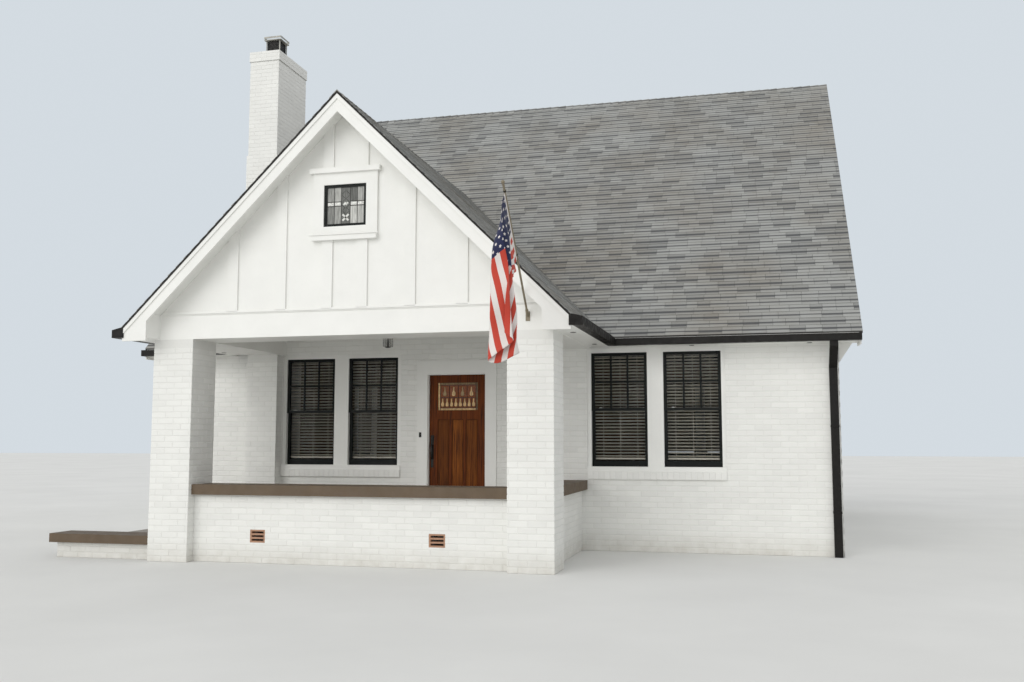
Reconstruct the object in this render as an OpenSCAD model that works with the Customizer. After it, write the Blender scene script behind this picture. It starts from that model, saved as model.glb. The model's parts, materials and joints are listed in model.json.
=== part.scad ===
/* [Porch] */
// Width over the outer faces of the two piers
porch_w = 5120; // [4400:10:5600]
// Distance from the pier fronts to the house front wall
porch_depth = 2520; // [2200:10:3200]
// Side of the square brick piers
pier_w = 540; // [460:5:620]
// Height of the piers, up to the underside of the beams
pier_h = 2735; // [2600:5:2900]
// Thickness of the low brick walls
low_wall_t = 260; // [200:5:320]
// Height of the low brick walls, under the coping
low_wall_h = 815; // [600:5:1000]
// Width of the coping
coping_w = 420; // [340:5:450]
// Thickness of the coping
coping_h = 125; // [80:5:160]
// Height of the porch floor above the ground
porch_floor_z = 370; // [330:5:480]
// Thickness of the porch floor slab
porch_floor_t = 120; // [80:5:140]
// Projection of the half pier on the front wall
pilaster_d = 180; // [100:5:300]
// Width of the half pier on the front wall
pilaster_w = 480; // [400:5:485]

/* [Crawl space vents] */
// Width of a vent block
vent_w = 200; // [150:5:260]
// Height of a vent block
vent_h = 155; // [120:5:180]
// Height of the vent blocks above the ground
vent_z = 245; // [150:5:300]
// Distance of each vent from the middle of the porch
vent_x = 1145; // [700:5:1600]
// Depth of a vent block
vent_d = 70; // [50:5:100]
// Thickness of the webs of a vent block
vent_web = 20; // [15:1:25]

/* [Entry landing] */
// Height of the landing beside the porch
landing_h = 185; // [120:5:220]
// Height of the cheek wall above the landing, up to its coping
cheek_rise = 5; // [2:1:60]
// Thickness of the cheek wall coping
cheek_coping_h = 110; // [80:5:140]
// Overhang of the cheek wall coping at its free end
cheek_over = 70; // [20:5:100]

/* [Porch beams and ceiling] */
// Height of the boxed beams
beam_h = 320; // [240:5:360]
// Thickness of the porch ceiling boards
ceiling_t = 25; // [15:1:40]

/* [Porch gable] */
// Thickness of the boarded gable wall
gable_t = 100; // [60:5:140]
// Width of a gable batten
batten_w = 138; // [90:2:150]
// Thickness of a gable batten
batten_t = 22; // [15:1:30]
// Distance of the inner battens from the middle
batten_x1 = 226; // [180:2:260]
// Distance of the middle battens from the middle
batten_x2 = 835; // [700:5:900]
// Distance of the outer battens from the middle
batten_x3 = 1483; // [1300:5:1600]

/* [Gable window] */
// Width of the gable window
gable_win_w = 550; // [450:5:600]
// Height of the gable window
gable_win_h = 515; // [420:5:560]
// Height of the underside of the gable window above the beam
gable_win_up = 999; // [850:1:1050]
// Width of the gable window's side and head boards
gable_case_w = 145; // [100:5:160]
// Height of the board under the gable window
gable_apron_h = 110; // [80:5:140]
// Height of the window's sill
gable_sill_h = 60; // [40:2:80]
// Height of the cap over the window
gable_cap_h = 62; // [40:2:80]
// Projection of the sill and cap beyond the casing boards
gable_ledge = 35; // [20:1:60]
// Width of the gable sash's bars
gable_sash_w = 34; // [25:1:45]
// Depth of the gable sash
gable_sash_d = 45; // [38:1:50]

/* [Roofs] */
// Pitch of all the roof slopes
roof_pitch = 44.5; // [40:0.5:46]
// Height of the shingled surface at the eaves above the tops of the piers
eave_rise = 130; // [110:5:180]
// Thickness of the roof slopes, measured upright
roof_t = 150; // [120:5:165]
// Thickness of the shingled layer, measured upright
shingle_t = 30; // [20:1:40]
// Overhang of the porch eaves beyond the piers
porch_eave = 260; // [220:5:320]
// Overhang of the porch gable in front of the piers
porch_rake = 300; // [200:5:400]
// Overhang of the main eaves beyond the walls
main_eave = 250; // [220:5:320]
// Overhang of the main gables beyond the walls
main_rake = 266; // [200:2:320]
// Height of the bargeboards, measured upright
barge_h = 215; // [160:5:260]
// Thickness of the bargeboards
barge_t = 35; // [25:1:50]
// Thickness of the main roof's rake boards
rake_t = 25; // [20:1:35]
// Height of the moulding along the top of the bargeboards
mould_h = 60; // [40:2:80]
// Thickness of that moulding
mould_t = 15; // [10:1:20]
// Length of the level foot of each bargeboard
barge_foot = 330; // [280:5:380]
// Drop of the bargeboards' feet below the tops of the piers
barge_foot_down = 35; // [10:5:70]
// Thickness of the shingled edge beyond the boards
drip = 20; // [10:1:30]
// Thickness of the eave soffit boards
soffit_t = 18; // [12:1:25]
// Height of the underside of the eave soffits above the tops of the piers
soffit_rise = 5; // [2:1:10]
// Thickness of the eave fascia boards
fascia_t = 20; // [15:1:30]
// Height of the eave fascia boards
fascia_h = 105; // [95:1:110]
// Thickness of the boards that close the eaves' ends
return_t = 20; // [15:1:25]
// Width of the sloping brackets at the house corners
bracket_w = 180; // [120:5:220]
// Height of the sloping brackets
bracket_h = 270; // [200:5:320]

/* [House] */
// Distance of the house's left side from the middle of the porch
house_left = 3960; // [3700:10:4200]
// Distance of the house's right side from the middle of the porch
house_right = 5804; // [5400:2:6200]
// Depth of the house over its walls
house_depth = 9700; // [9000:50:10500]
// Thickness of the outer walls
wall_t = 250; // [200:5:280]
// Height of the house floor above the ground
house_floor_z = 385; // [380:1:420]
// Thickness of the house floor
house_floor_t = 200; // [150:5:250]

/* [Windows] */
// Width of one sash window
win_w = 766; // [700:2:800]
// Height of one sash window
win_h = 1548; // [1450:2:1555]
// Height of the underside of the sashes above the ground
win_z = 1125; // [1120:1:1130]
// Width of the post between two sash windows
mullion_w = 218; // [160:2:240]
// Width of the outer window frame
frame_w = 55; // [40:1:55]
// Depth of the window frame in the wall
frame_d = 120; // [115:1:140]
// Set-back of the window frame from the wall face
frame_back = 15; // [5:1:30]
// Height of the wooden window sill
sill_h = 65; // [50:1:75]
// Projection of the wooden window sill
sill_out = 20; // [10:1:25]
// Height of the brick sill
brick_sill_h = 105; // [90:1:120]
// Projection of the brick sill
brick_sill_out = 32; // [26:1:45]
// Width of the sash stiles and top rail
sash_w = 42; // [35:1:55]
// Height of the bottom rail
bottom_rail = 78; // [60:1:90]
// Height of the meeting rails
meeting_rail = 38; // [30:1:45]
// Thickness of each sash
sash_t = 35; // [30:1:38]
// Thickness of the glass
glass_t = 6; // [4:1:10]
// Thickness of the blinds' solid
blind_t = 16; // [10:1:20]
// Height of the gap under the blinds
blind_gap = 94; // [60:2:300]
// Middle of the porch windows, left of the porch's middle
porch_win_x = 1138; // [1110:2:1150]
// Middle of the right hand windows, right of the porch's middle
right_win_x = 3432; // [3350:2:4200]
// Distance of the front side windows from the front wall
side_win_y1 = 2500; // [2000:50:2600]
// Distance of the rear side windows from the front wall
side_win_y2 = 6900; // [6000:50:7500]

/* [Front door] */
// Width of the door leaf
door_w = 846; // [760:2:860]
// Height of the door leaf
door_h = 2022; // [1950:2:2032]
// Thickness of the door leaf
door_t = 45; // [38:1:50]
// Middle of the doorway, right of the porch's middle
door_x = 631; // [620:1:700]
// Clearance round the door leaf
door_gap = 5; // [5:0.5:6]
// Thickness of the door jambs
jamb_t = 38; // [25:1:42]
// Width of the strips that the leaf closes against
stop_w = 12; // [10:1:15]
// Set-back of the door leaf from the wall face
door_back = 50; // [30:1:70]
// Width of the door's side casings
door_case_w = 150; // [100:2:155]
// Height of the door's head casing
door_head_h = 188; // [120:2:200]
// Thickness of the door casings
door_case_t = 25; // [15:1:35]
// Thickness of the door sill
door_sill_t = 16; // [12:1:16]
// Width of the door's stiles
stile_w = 126; // [100:2:150]
// Height of the glazed opening in the door
lite_h = 390; // [300:5:420]
// Distance of the glazed opening from the top of the door
lite_down = 118; // [90:2:150]
// Height of the panelled field
field_h = 1130; // [900:10:1180]
// Height of the bottom rail of the door
door_rail_h = 255; // [200:5:300]
// Depth of the panelled field on each side
field_d = 10; // [6:1:14]
// Width of the ribs between the door's panels
rib_w = 34; // [20:1:50]
// Radius of the hinge knuckles
hinge_r = 6; // [5:0.5:8]
// Height of a hinge
hinge_h = 100; // [80:5:120]
// Width of the hinge leaves
hinge_w = 30; // [25:1:34]
// Thickness of the hinge leaves
hinge_t = 2.5; // [2:0.5:3]
// Distance of the handle from the edge of the leaf
handle_in = 46; // [42:1:60]
// Height of the middle of the handle above the leaf's foot
handle_z = 967; // [900:1:1000]
// Length of the handle plate
handle_l = 360; // [280:5:400]
// Width of the handle plate
handle_w = 46; // [36:2:50]

/* [Chimney] */
// Width of the chimney shaft
chimney_w = 570; // [500:5:650]
// Depth of the chimney shaft
chimney_d = 1110; // [900:10:1200]
// Distance of the shaft's front from the front wall
chimney_y = 2610; // [2500:10:2700]
// Height of the chimney
chimney_h = 8620; // [8300:10:9000]
// Distance of the chimney's outer face inside the rake board
chimney_in = 20; // [10:1:40]
// Height of the shoulder of the chimney
shoulder_z = 6660; // [6500:10:7000]
// Projection of the chimney's base beyond the shaft
shoulder_out = 20; // [10:1:40]
// Height of the band round the chimney's top
band_h = 185; // [120:5:240]
// Projection of that band
band_out = 15; // [10:1:25]
// Width of the metal chimney cap
cap_w = 340; // [300:5:400]
// Height of the metal chimney cap
cap_h = 400; // [350:5:440]
// Distance of the chimney cap's middle behind the chimney's front face
cap_back = 440; // [400:5:560]
// Height of the lid on the chimney cap
lid_h = 70; // [50:5:90]
// Height of the open flue under the chimney cap's lid
flue_h = 210; // [150:5:260]
// Thickness of the chimney cap's plates
base_plate_t = 14; // [8:1:20]
// Half width of the flat top of the chimney cap's lid
lid_top_r = 40; // [20:5:60]

/* [Gutters] */
// Width of the gutters
gutter_w = 115; // [100:1:130]
// Height of the gutters
gutter_h = 90; // [80:1:95]
// Thickness of the gutters
gutter_t = 4; // [3:0.5:6]
// Width of a downspout along the wall
spout_w = 102; // [80:2:110]
// Depth of a downspout
spout_d = 76; // [60:2:80]
// Distance of the downspouts from the house corners
spout_in = 22; // [15:1:60]

/* [Porch light] */
// Radius of the jar
jar_r = 70; // [50:1:90]
// Height of the jar
jar_h = 140; // [100:5:180]
// Drop of the jar's underside below the porch ceiling
light_drop = 321; // [260:1:400]
// Distance of the light from the front wall
light_y = 1070; // [800:10:1400]
// Radius of the light's stem
stem_r = 8; // [6:1:10]
// Radius of the light's ceiling plate
canopy_r = 65; // [50:1:80]

/* [Flag] */
// Distance of the flag bracket from the outer face of the right pier
flag_in = 296; // [260:2:400]
// Height of the flag bracket above the tops of the piers
flag_up = 156; // [120:1:170]
// Length of the flagpole
pole_l = 1975; // [1850:5:2000]
// Radius of the flagpole
pole_r = 12; // [9:1:14]
// Rise of the flagpole in degrees
pole_rise = 35.7; // [33:0.1:36.5]
// Turn of the flagpole to the side in degrees
pole_turn = 4.4; // [3:0.1:6]
// Width of the flag along the pole
flag_w = 910; // [800:10:920]
// Drop of the hanging flag below its fixing at the pole's tip
flag_drop = 1660; // [1600:10:1700]
// Width of the folded, hanging flag
flag_fold_w = 260; // [200:10:300]
// Depth of the folds under the pole's tip
flag_fold_d = 260; // [200:10:320]
// Distance of the flag's fixing from the pole's tip
flag_tip_in = 150; // [100:5:180]
// Half width of the flag where it hangs from the pole
flag_hem_w = 40; // [30:1:60]

/* [Hidden] */

EPS = 1;
FIT = 0.3;
slope = tan(roof_pitch);
eave_z = pier_h + eave_rise;
soffit_z = pier_h + soffit_rise;
barge_foot_z = pier_h - barge_foot_down;
half_porch = porch_w / 2;
half_pier = pier_w / 2;
pier_x = half_porch - half_pier;
pier_in = half_porch - pier_w;
half_low = low_wall_t / 2;
half_coping = coping_w / 2;
coping_top = low_wall_h + coping_h;
face_y = porch_depth - half_pier;
inner_y = face_y + wall_t;
rear_y = face_y + house_depth;
ridge_y = face_y + house_depth / 2;
beam_top = pier_h + beam_h;
gable_win_z = beam_top + gable_win_up;
flag_x = half_porch - flag_in;
flag_z = pier_h + flag_up;
cheek_h = landing_h + cheek_rise;

// The roofs share one pitch and one eave height, so their valleys lie at 45 degrees in plan
eave_y = face_y - main_eave;
eave_x = half_porch + porch_eave;
porch_apex = eave_z + slope * eave_x;
main_apex = eave_z + slope * (ridge_y - eave_y);
valley_y = eave_y + eave_x;
rake_y = -half_pier - porch_rake;
left_end = -house_left - main_rake;
right_end = house_right + main_rake;
board_top = soffit_z + soffit_t;
gutter_front = eave_y - fascia_t - gutter_w;

// Window openings in the masonry
pair_w = 2 * win_w + mullion_w + 2 * frame_w;
open_z = win_z - sill_h - brick_sill_h;
open_top = win_z + win_h + frame_w;
front_wins = [-porch_win_x, right_win_x];
right_wins = [face_y + side_win_y1, face_y + side_win_y2];
left_wins = [face_y + side_win_y2];
sash_in = 25;
sash_y = frame_back + sash_in;
pane_in = 14;

// Doorway
leaf_up = 7;
leaf_z = house_floor_z + leaf_up;
leaf_l = door_x - door_w / 2;
leaf_r = door_x + door_w / 2;
jamb_l = leaf_l - door_gap;
jamb_r = leaf_r + door_gap;
door_l = jamb_l - jamb_t;
door_r = jamb_r + jamb_t;
door_y = face_y + door_back;
jamb_top = leaf_z + door_h + door_gap;
head_top = jamb_top + jamb_t;
hinge_y = door_y + door_t + hinge_r + 1;
hinge_x = jamb_r;
hinge_end = 180;
hinge_zs = [leaf_z + hinge_end, leaf_z + door_h / 2 - hinge_h / 2, leaf_z + door_h - hinge_end - hinge_h];
lite_z = leaf_z + door_h - lite_down - lite_h;
field_z = leaf_z + door_rail_h;
field_l = leaf_l + stile_w;
field_w = door_w - 2 * stile_w;

chimney_l = left_end + chimney_in;
chimney_r = chimney_l + chimney_w;
chimney_f = face_y + chimney_y;
chimney_b = chimney_f + chimney_d;

wall_white = [0.92, 0.93, 0.94];
trim_white = [0.95, 0.95, 0.94];
coping_brown = [0.37, 0.31, 0.24];
roof_grey = [0.42, 0.42, 0.41];
metal_dark = [0.14, 0.12, 0.10];
sash_dark = [0.10, 0.12, 0.11];
glass_grey = [0.35, 0.40, 0.42, 0.6];
terracotta = [0.62, 0.40, 0.28];
concrete = [0.68, 0.66, 0.62];
door_red = [0.36, 0.18, 0.08];
flag_red = [0.70, 0.22, 0.18];

// Height of what just clears the underside of a roof slope:
// at d behind the main eave, or x from the porch's middle
function under(d) = eave_z - roof_t - FIT + slope * d;
function porch_under(x) = porch_apex - roof_t - FIT - slope * abs(x);

module box(x0, x1, y0, y1, z0, z1) {
    translate([x0, y0, z0]) cube([x1 - x0, y1 - y0, z1 - z0]);
}

// A profile drawn in X and Z, pushed along Y from y0 to y1
module along_y(y0, y1) {
    translate([0, y1, 0]) rotate([90, 0, 0]) linear_extrude(height = y1 - y0) children();
}

// A profile drawn in Y and Z, pushed along X from x0 to x1
module along_x(x0, x1) {
    translate([x0, 0, 0]) rotate([90, 0, 90]) linear_extrude(height = x1 - x0) children();
}

module mirror_copy() {
    children();
    mirror([1, 0, 0]) children();
}

module pier() {
    box(pier_x - half_pier, pier_x + half_pier, -half_pier, half_pier, 0, pier_h);
}

module left_pier() {
    color(wall_white) mirror([1, 0, 0]) pier();
}

module right_pier() {
    color(wall_white) pier();
}

module vent_hole(x) {
    box(x - vent_w / 2, x + vent_w / 2, -half_low - EPS, half_low + EPS, vent_z, vent_z + vent_h);
}

module porch_front_wall() {
    color(wall_white) difference() {
        box(-pier_in, pier_in, -half_low, half_low, 0, low_wall_h);
        vent_hole(-vent_x);
        vent_hole(vent_x);
    }
}

module porch_side_wall() {
    color(wall_white) box(pier_x - half_low, pier_x + half_low, half_pier, face_y, 0, low_wall_h);
}

module wall_copings() {
    color(coping_brown) {
        box(-pier_in, pier_in, -half_coping, half_coping, low_wall_h, coping_top);
        box(pier_x - half_coping, pier_x + half_coping, half_pier, face_y, low_wall_h, coping_top);
        box(-house_left - cheek_over, -half_porch, -half_coping, half_coping,
            cheek_h, cheek_h + cheek_coping_h);
    }
}

// A clay block with three level slots
module vent_block(x) {
    slot_h = (vent_h - 4 * vent_web) / 3;
    difference() {
        box(x - vent_w / 2, x + vent_w / 2, -half_low, vent_d - half_low, vent_z, vent_z + vent_h);
        for (i = [0:2])
            box(x - vent_w / 2 + vent_web, x + vent_w / 2 - vent_web,
                -half_low - EPS, vent_d - half_low + EPS,
                vent_z + vent_web + i * (slot_h + vent_web), vent_z + (i + 1) * (slot_h + vent_web));
    }
}

module wall_vents() {
    color(terracotta) {
        vent_block(-vent_x);
        vent_block(vent_x);
    }
}

module porch_floor() {
    color(concrete) difference() {
        box(-half_porch, pier_x - half_low, half_low, face_y, porch_floor_z - porch_floor_t, porch_floor_z);
        mirror_copy() box(pier_in, half_porch + EPS, half_low - EPS, half_pier, 0, pier_h);
        box(-half_porch - EPS, pilaster_w - half_porch, face_y - pilaster_d, face_y + EPS, 0, pier_h);
    }
}

module entry_landing() {
    color(concrete) box(-house_left, -half_porch, half_low, face_y, 0, landing_h);
}

module cheek_wall() {
    color(wall_white) box(-house_left, -half_porch, -half_low, half_low, 0, cheek_h);
}

module porch_pilaster() {
    color(wall_white) box(-half_porch, pilaster_w - half_porch, face_y - pilaster_d, face_y, 0, pier_h);
}

// The top outer corner of each beam is cut off under the roof slope
module porch_beam() {
    cut_x = (porch_under(0) - beam_top) / slope;
    color(trim_white) along_y(-half_pier, half_pier)
        polygon([[-half_porch, pier_h], [half_porch, pier_h], [half_porch, porch_under(half_porch)],
            [cut_x, beam_top], [-cut_x, beam_top], [-half_porch, porch_under(half_porch)]]);
}

module side_beams() {
    cut_x = (porch_under(0) - beam_top) / slope;
    color(trim_white) mirror_copy() along_y(half_pier, face_y)
        polygon([[pier_in, pier_h], [half_porch, pier_h], [half_porch, porch_under(half_porch)],
            [cut_x, beam_top], [pier_in, beam_top]]);
}

module porch_ceiling() {
    color(trim_white) box(-pier_in, pier_in, half_pier, face_y, beam_top - ceiling_t, beam_top);
}

// A glass jar under a metal collar, hung on a stem from a round ceiling plate
module porch_light() {
    ceiling_z = beam_top - ceiling_t;
    jar_z = ceiling_z - light_drop;
    foot_r = 0.8 * jar_r;
    foot_h = 0.12 * jar_h;
    side_top = jar_z + 0.75 * jar_h;
    neck_z = jar_z + jar_h;
    collar_r = 0.6 * jar_r;
    collar_h = 40;
    cone_h = 15;
    canopy_h = 20;
    canopy_rim = 8;
    color(metal_dark) translate([0, face_y - light_y, 0]) rotate_extrude($fn = 48)
        polygon([[0, jar_z], [foot_r, jar_z], [jar_r, jar_z + foot_h], [jar_r, side_top], [collar_r, neck_z],
            [collar_r, neck_z + collar_h], [stem_r, neck_z + collar_h + cone_h],
            [stem_r, ceiling_z - canopy_h], [canopy_r, ceiling_z - canopy_rim], [canopy_r, ceiling_z],
            [0, ceiling_z]]);
}

module gable_wall() {
    foot_x = (porch_under(0) - beam_top) / slope;
    color(trim_white) difference() {
        along_y(-half_pier, gable_t - half_pier)
            polygon([[-foot_x, beam_top], [foot_x, beam_top], [0, porch_under(0)]]);
        box(-gable_win_w / 2, gable_win_w / 2, -half_pier - EPS, gable_t - half_pier + EPS,
            gable_win_z, gable_win_z + gable_win_h);
    }
}

module batten(x) {
    x0 = x - batten_w / 2;
    x1 = x + batten_w / 2;
    along_y(-half_pier - batten_t, -half_pier)
        polygon([[x0, beam_top], [x1, beam_top], [x1, porch_under(x1)], [x0, porch_under(x0)]]);
}

// The inner battens stop at the window casing and go on above it
module gable_battens() {
    case_x = gable_win_w / 2 + gable_case_w + gable_ledge;
    sill_z = gable_win_z - gable_apron_h - gable_sill_h;
    cap_z = gable_win_z + gable_win_h + gable_case_w + gable_cap_h;
    color(trim_white) mirror_copy() difference() {
        union() {
            batten(batten_x1);
            batten(batten_x2);
            batten(batten_x3);
        }
        box(-EPS, case_x, -half_pier - batten_t - EPS, -half_pier + EPS, sill_z, cap_z);
    }
}

module gable_window_casing() {
    out_x = gable_win_w / 2 + gable_case_w;
    sill_top = gable_win_z - gable_apron_h;
    cap_z = gable_win_z + gable_win_h + gable_case_w;
    case_proud = 12;
    face = -half_pier - batten_t - case_proud;
    color(trim_white) {
        difference() {
            box(-out_x, out_x, face, -half_pier, sill_top, cap_z);
            box(-gable_win_w / 2, gable_win_w / 2, face - EPS, -half_pier + EPS,
                gable_win_z, gable_win_z + gable_win_h);
        }
        box(-out_x - gable_ledge, out_x + gable_ledge, face - gable_ledge, -half_pier,
            cap_z, cap_z + gable_cap_h);
        box(-out_x, out_x, face - gable_ledge, -half_pier, sill_top - gable_sill_h, sill_top);
    }
}

module gable_window_frame() {
    proud = 15;
    y0 = -half_pier - proud;
    y1 = y0 + gable_sash_d;
    color(sash_dark) difference() {
        box(-gable_win_w / 2, gable_win_w / 2, y0, y1, gable_win_z, gable_win_z + gable_win_h);
        box(gable_sash_w - gable_win_w / 2, gable_win_w / 2 - gable_sash_w, y0 - EPS, y1 + EPS,
            gable_win_z + gable_sash_w, gable_win_z + gable_win_h - gable_sash_w);
    }
}

module gable_window_glass() {
    y0 = -half_pier;
    color(glass_grey) box(gable_sash_w - gable_win_w / 2, gable_win_w / 2 - gable_sash_w, y0, y0 + glass_t,
        gable_win_z + gable_sash_w, gable_win_z + gable_win_h - gable_sash_w);
}

// One half of the front bargeboard, with its level foot at the eave
module barge_profile(top, h) {
    z0 = porch_apex - top;
    foot_x = eave_x - barge_foot;
    polygon([[0, z0], [eave_x, z0 - slope * eave_x], [eave_x, barge_foot_z], [foot_x, barge_foot_z],
        [foot_x, z0 - h - slope * foot_x], [0, z0 - h]]);
}

module bargeboards() {
    z0 = porch_apex - shingle_t - FIT;
    color(trim_white) mirror_copy() {
        along_y(rake_y, rake_y + barge_t) barge_profile(shingle_t + FIT, barge_h);
        along_y(rake_y - mould_t, rake_y + EPS)
            polygon([[0, z0], [eave_x, z0 - slope * eave_x], [eave_x, z0 - mould_h - slope * eave_x],
                [0, z0 - mould_h]]);
    }
}

module porch_roof_profile(t, flat) {
    foot_x = min((porch_apex - t - flat) / slope, eave_x);
    foot_z = max(flat, eave_z - t);
    polygon([[0, porch_apex], [eave_x, eave_z], [eave_x, foot_z], [foot_x, foot_z], [0, porch_apex - t],
        [-foot_x, foot_z], [-eave_x, foot_z], [-eave_x, eave_z]]);
}

// Both slopes of the porch roof, running back to the two valleys
module porch_roof() {
    color(roof_grey) intersection() {
        union() {
            along_y(rake_y + barge_t, valley_y) porch_roof_profile(roof_t, board_top);
            along_y(rake_y - drip, valley_y) porch_roof_profile(shingle_t, 0);
        }
        linear_extrude(height = porch_apex + EPS)
            polygon([[-eave_x, rake_y - drip], [eave_x, rake_y - drip], [eave_x, eave_y],
                [0, valley_y], [-eave_x, eave_y]]);
    }
}

// Depth of a slope's profile from the ridge, drawn for the front slope
module slope_profile(t, flat) {
    foot_y = eave_y + max(0, (flat - eave_z + t) / slope);
    foot_z = max(flat, eave_z - t);
    polygon([[eave_y, eave_z], [ridge_y, main_apex], [ridge_y, main_apex - t], [foot_y, foot_z],
        [eave_y, foot_z]]);
}

module roof_slope() {
    along_x(left_end + rake_t, right_end - rake_t) slope_profile(roof_t, board_top);
    along_x(left_end - drip, right_end + drip) slope_profile(shingle_t, 0);
}

module chimney_space(z0, z1) {
    box(chimney_l - shoulder_out - drip, chimney_r + shoulder_out, chimney_f - shoulder_out,
        chimney_b + shoulder_out, z0, z1);
}

module main_roof_front() {
    color(roof_grey) difference() {
        roof_slope();
        linear_extrude(height = main_apex)
            polygon([[-eave_x, eave_y], [-eave_x, eave_y - EPS], [eave_x, eave_y - EPS], [eave_x, eave_y],
                [0, valley_y]]);
        chimney_space(0, main_apex);
    }
}

module main_roof_rear() {
    color(roof_grey) front_to_rear() roof_slope();
}

// A rake board's front half, with a level foot at the eave like the bargeboards'
module rake_profile() {
    y0 = eave_y - fascia_t;
    y1 = eave_y + barge_foot;
    z0 = eave_z - shingle_t - FIT;
    apex = z0 + slope * (ridge_y - eave_y);
    polygon([[y0, z0 - slope * fascia_t], [ridge_y, apex], [ridge_y, apex - barge_h],
        [y1, z0 + slope * barge_foot - barge_h], [y1, barge_foot_z], [y0, barge_foot_z]]);
}

module rake_pair() {
    along_x(0, rake_t) {
        rake_profile();
        translate([2 * ridge_y, 0]) mirror([1, 0]) rake_profile();
    }
}

module rake_boards() {
    color(trim_white) {
        difference() {
            translate([left_end, 0, 0]) rake_pair();
            chimney_space(0, main_apex);
        }
        translate([right_end - rake_t, 0, 0]) rake_pair();
    }
}

// Puts a piece drawn for the rear eave on the front, or the other way round
module front_to_rear() {
    translate([0, 2 * ridge_y, 0]) mirror([0, 1, 0]) children();
}

// Boxed in between the beam and the fascia, and closed in front of the pier
module porch_eave_side() {
    x0 = eave_x - barge_foot;
    y0 = rake_y + barge_t;
    box(half_porch, eave_x, y0, eave_y, soffit_z, board_top);
    box(x0, eave_x, y0, -half_pier, soffit_z, board_top);
    along_y(y0, -half_pier)
        polygon([[x0, soffit_z], [x0 + return_t, soffit_z], [x0 + return_t, porch_under(x0 + return_t)],
            [x0, porch_under(x0)]]);
    box(eave_x, eave_x + fascia_t, rake_y, eave_y - fascia_t, soffit_z, soffit_z + fascia_h);
}

module porch_eaves() {
    color(trim_white) mirror_copy() porch_eave_side();
}

// The level soffit and its fascia, from x0 to the rake board at x_end
module main_eave_side(x0, x_end, fascia_x) {
    box(x0, x_end, eave_y, face_y, soffit_z, board_top);
    box(fascia_x, x_end, eave_y - fascia_t, eave_y, soffit_z, soffit_z + fascia_h);
}

// The return that closes the eave beside a gable wall, with a sloping bracket under it
module eave_return(x0, x1) {
    y1 = eave_y + barge_foot;
    box(x0, x1, face_y, y1, soffit_z, board_top);
    box(x0, x1, y1 - return_t, y1, soffit_z, under(y1 - return_t - eave_y));
    along_y(face_y, y1)
        polygon([[x0, soffit_z + EPS], [x0 + bracket_w, soffit_z + EPS], [x0 + bracket_w, soffit_z],
            [x0, soffit_z - bracket_h]]);
}

module main_eaves() {
    left_x = -left_end - rake_t;
    right_x = right_end - rake_t;
    color(trim_white) {
        main_eave_side(eave_x, right_x, eave_x);
        eave_return(house_right, right_x);
        mirror([1, 0, 0]) main_eave_side(eave_x, left_x, eave_x);
        mirror([1, 0, 0]) eave_return(house_left, left_x);
        front_to_rear() {
            main_eave_side(-left_x, right_x, -left_x);
            eave_return(house_right, right_x);
            mirror([1, 0, 0]) eave_return(house_left, left_x);
        }
    }
}

// An open trough; open_end is how far its hollow runs past its end where it joins another
module trough(x0, x1, y0, y1, open_end) {
    difference() {
        box(x0, x1, y0, y1, soffit_z, soffit_z + gutter_h);
        box(x0 + gutter_t, x1 - gutter_t, y0 + gutter_t, y1 - gutter_t + open_end,
            soffit_z + gutter_t, soffit_z + gutter_h + EPS);
    }
}

module porch_gutters() {
    x0 = eave_x + fascia_t;
    color(metal_dark) mirror_copy() trough(x0, x0 + gutter_w, rake_y, gutter_front, gutter_t + EPS);
}

// The front eave's gutter, open where the porch gutter runs into it
module front_gutter(x_end) {
    x0 = eave_x + fascia_t;
    difference() {
        trough(x0, x_end, gutter_front, gutter_front + gutter_w, 0);
        box(x0 + gutter_t, x0 + gutter_w - gutter_t, gutter_front - EPS, gutter_front + gutter_t + EPS,
            soffit_z + gutter_t, soffit_z + gutter_h + EPS);
    }
}

module main_gutters() {
    color(metal_dark) {
        front_gutter(right_end);
        mirror([1, 0, 0]) front_gutter(-left_end);
        front_to_rear() trough(left_end, right_end, gutter_front, gutter_front + gutter_w, 0);
    }
}

// A downspout on the front wall, its left edge at x, with the elbow that brings it under the gutter
module downspout(x, foot) {
    out_y = gutter_front + (gutter_w - spout_d) / 2;
    wall_y = face_y - spout_d;
    outlet_z = soffit_z - 40;
    elbow_z = soffit_z - 300;
    fold = 30;
    along_x(x, x + spout_w)
        polygon([[out_y, soffit_z], [out_y + spout_d, soffit_z], [out_y + spout_d, outlet_z],
            [face_y, elbow_z], [face_y, foot], [wall_y, foot], [wall_y, elbow_z - fold],
            [out_y, outlet_z - fold]]);
}

module downspouts() {
    color(metal_dark) {
        downspout(house_right - spout_in - spout_w, 0);
        downspout(-house_left + spout_in, landing_h);
        front_to_rear() {
            downspout(house_right - spout_in - spout_w, 0);
            downspout(-house_left + spout_in, 0);
        }
    }
}

// Puts a piece drawn for a front window, at x = 0 and y = 0 on the wall face, into each wall
module at_front(x) {
    translate([x, face_y, 0]) children();
}

module at_rear(x) {
    translate([x, rear_y, 0]) rotate([0, 0, 180]) children();
}

module at_right(y) {
    translate([house_right, y, 0]) rotate([0, 0, 90]) children();
}

module at_left(y) {
    translate([-house_left, y, 0]) rotate([0, 0, -90]) children();
}

module at_all_windows() {
    for (x = front_wins) {
        at_front(x) children();
        at_rear(x) children();
    }
    for (y = right_wins) at_right(y) children();
    for (y = left_wins) at_left(y) children();
}

module window_hole() {
    box(-pair_w / 2, pair_w / 2, -EPS, wall_t + EPS, open_z, open_top);
}

module wall_profile() {
    polygon([[face_y, 0], [inner_y, 0], [inner_y, under(inner_y - eave_y)],
        [face_y, under(face_y - eave_y)]]);
}

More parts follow.
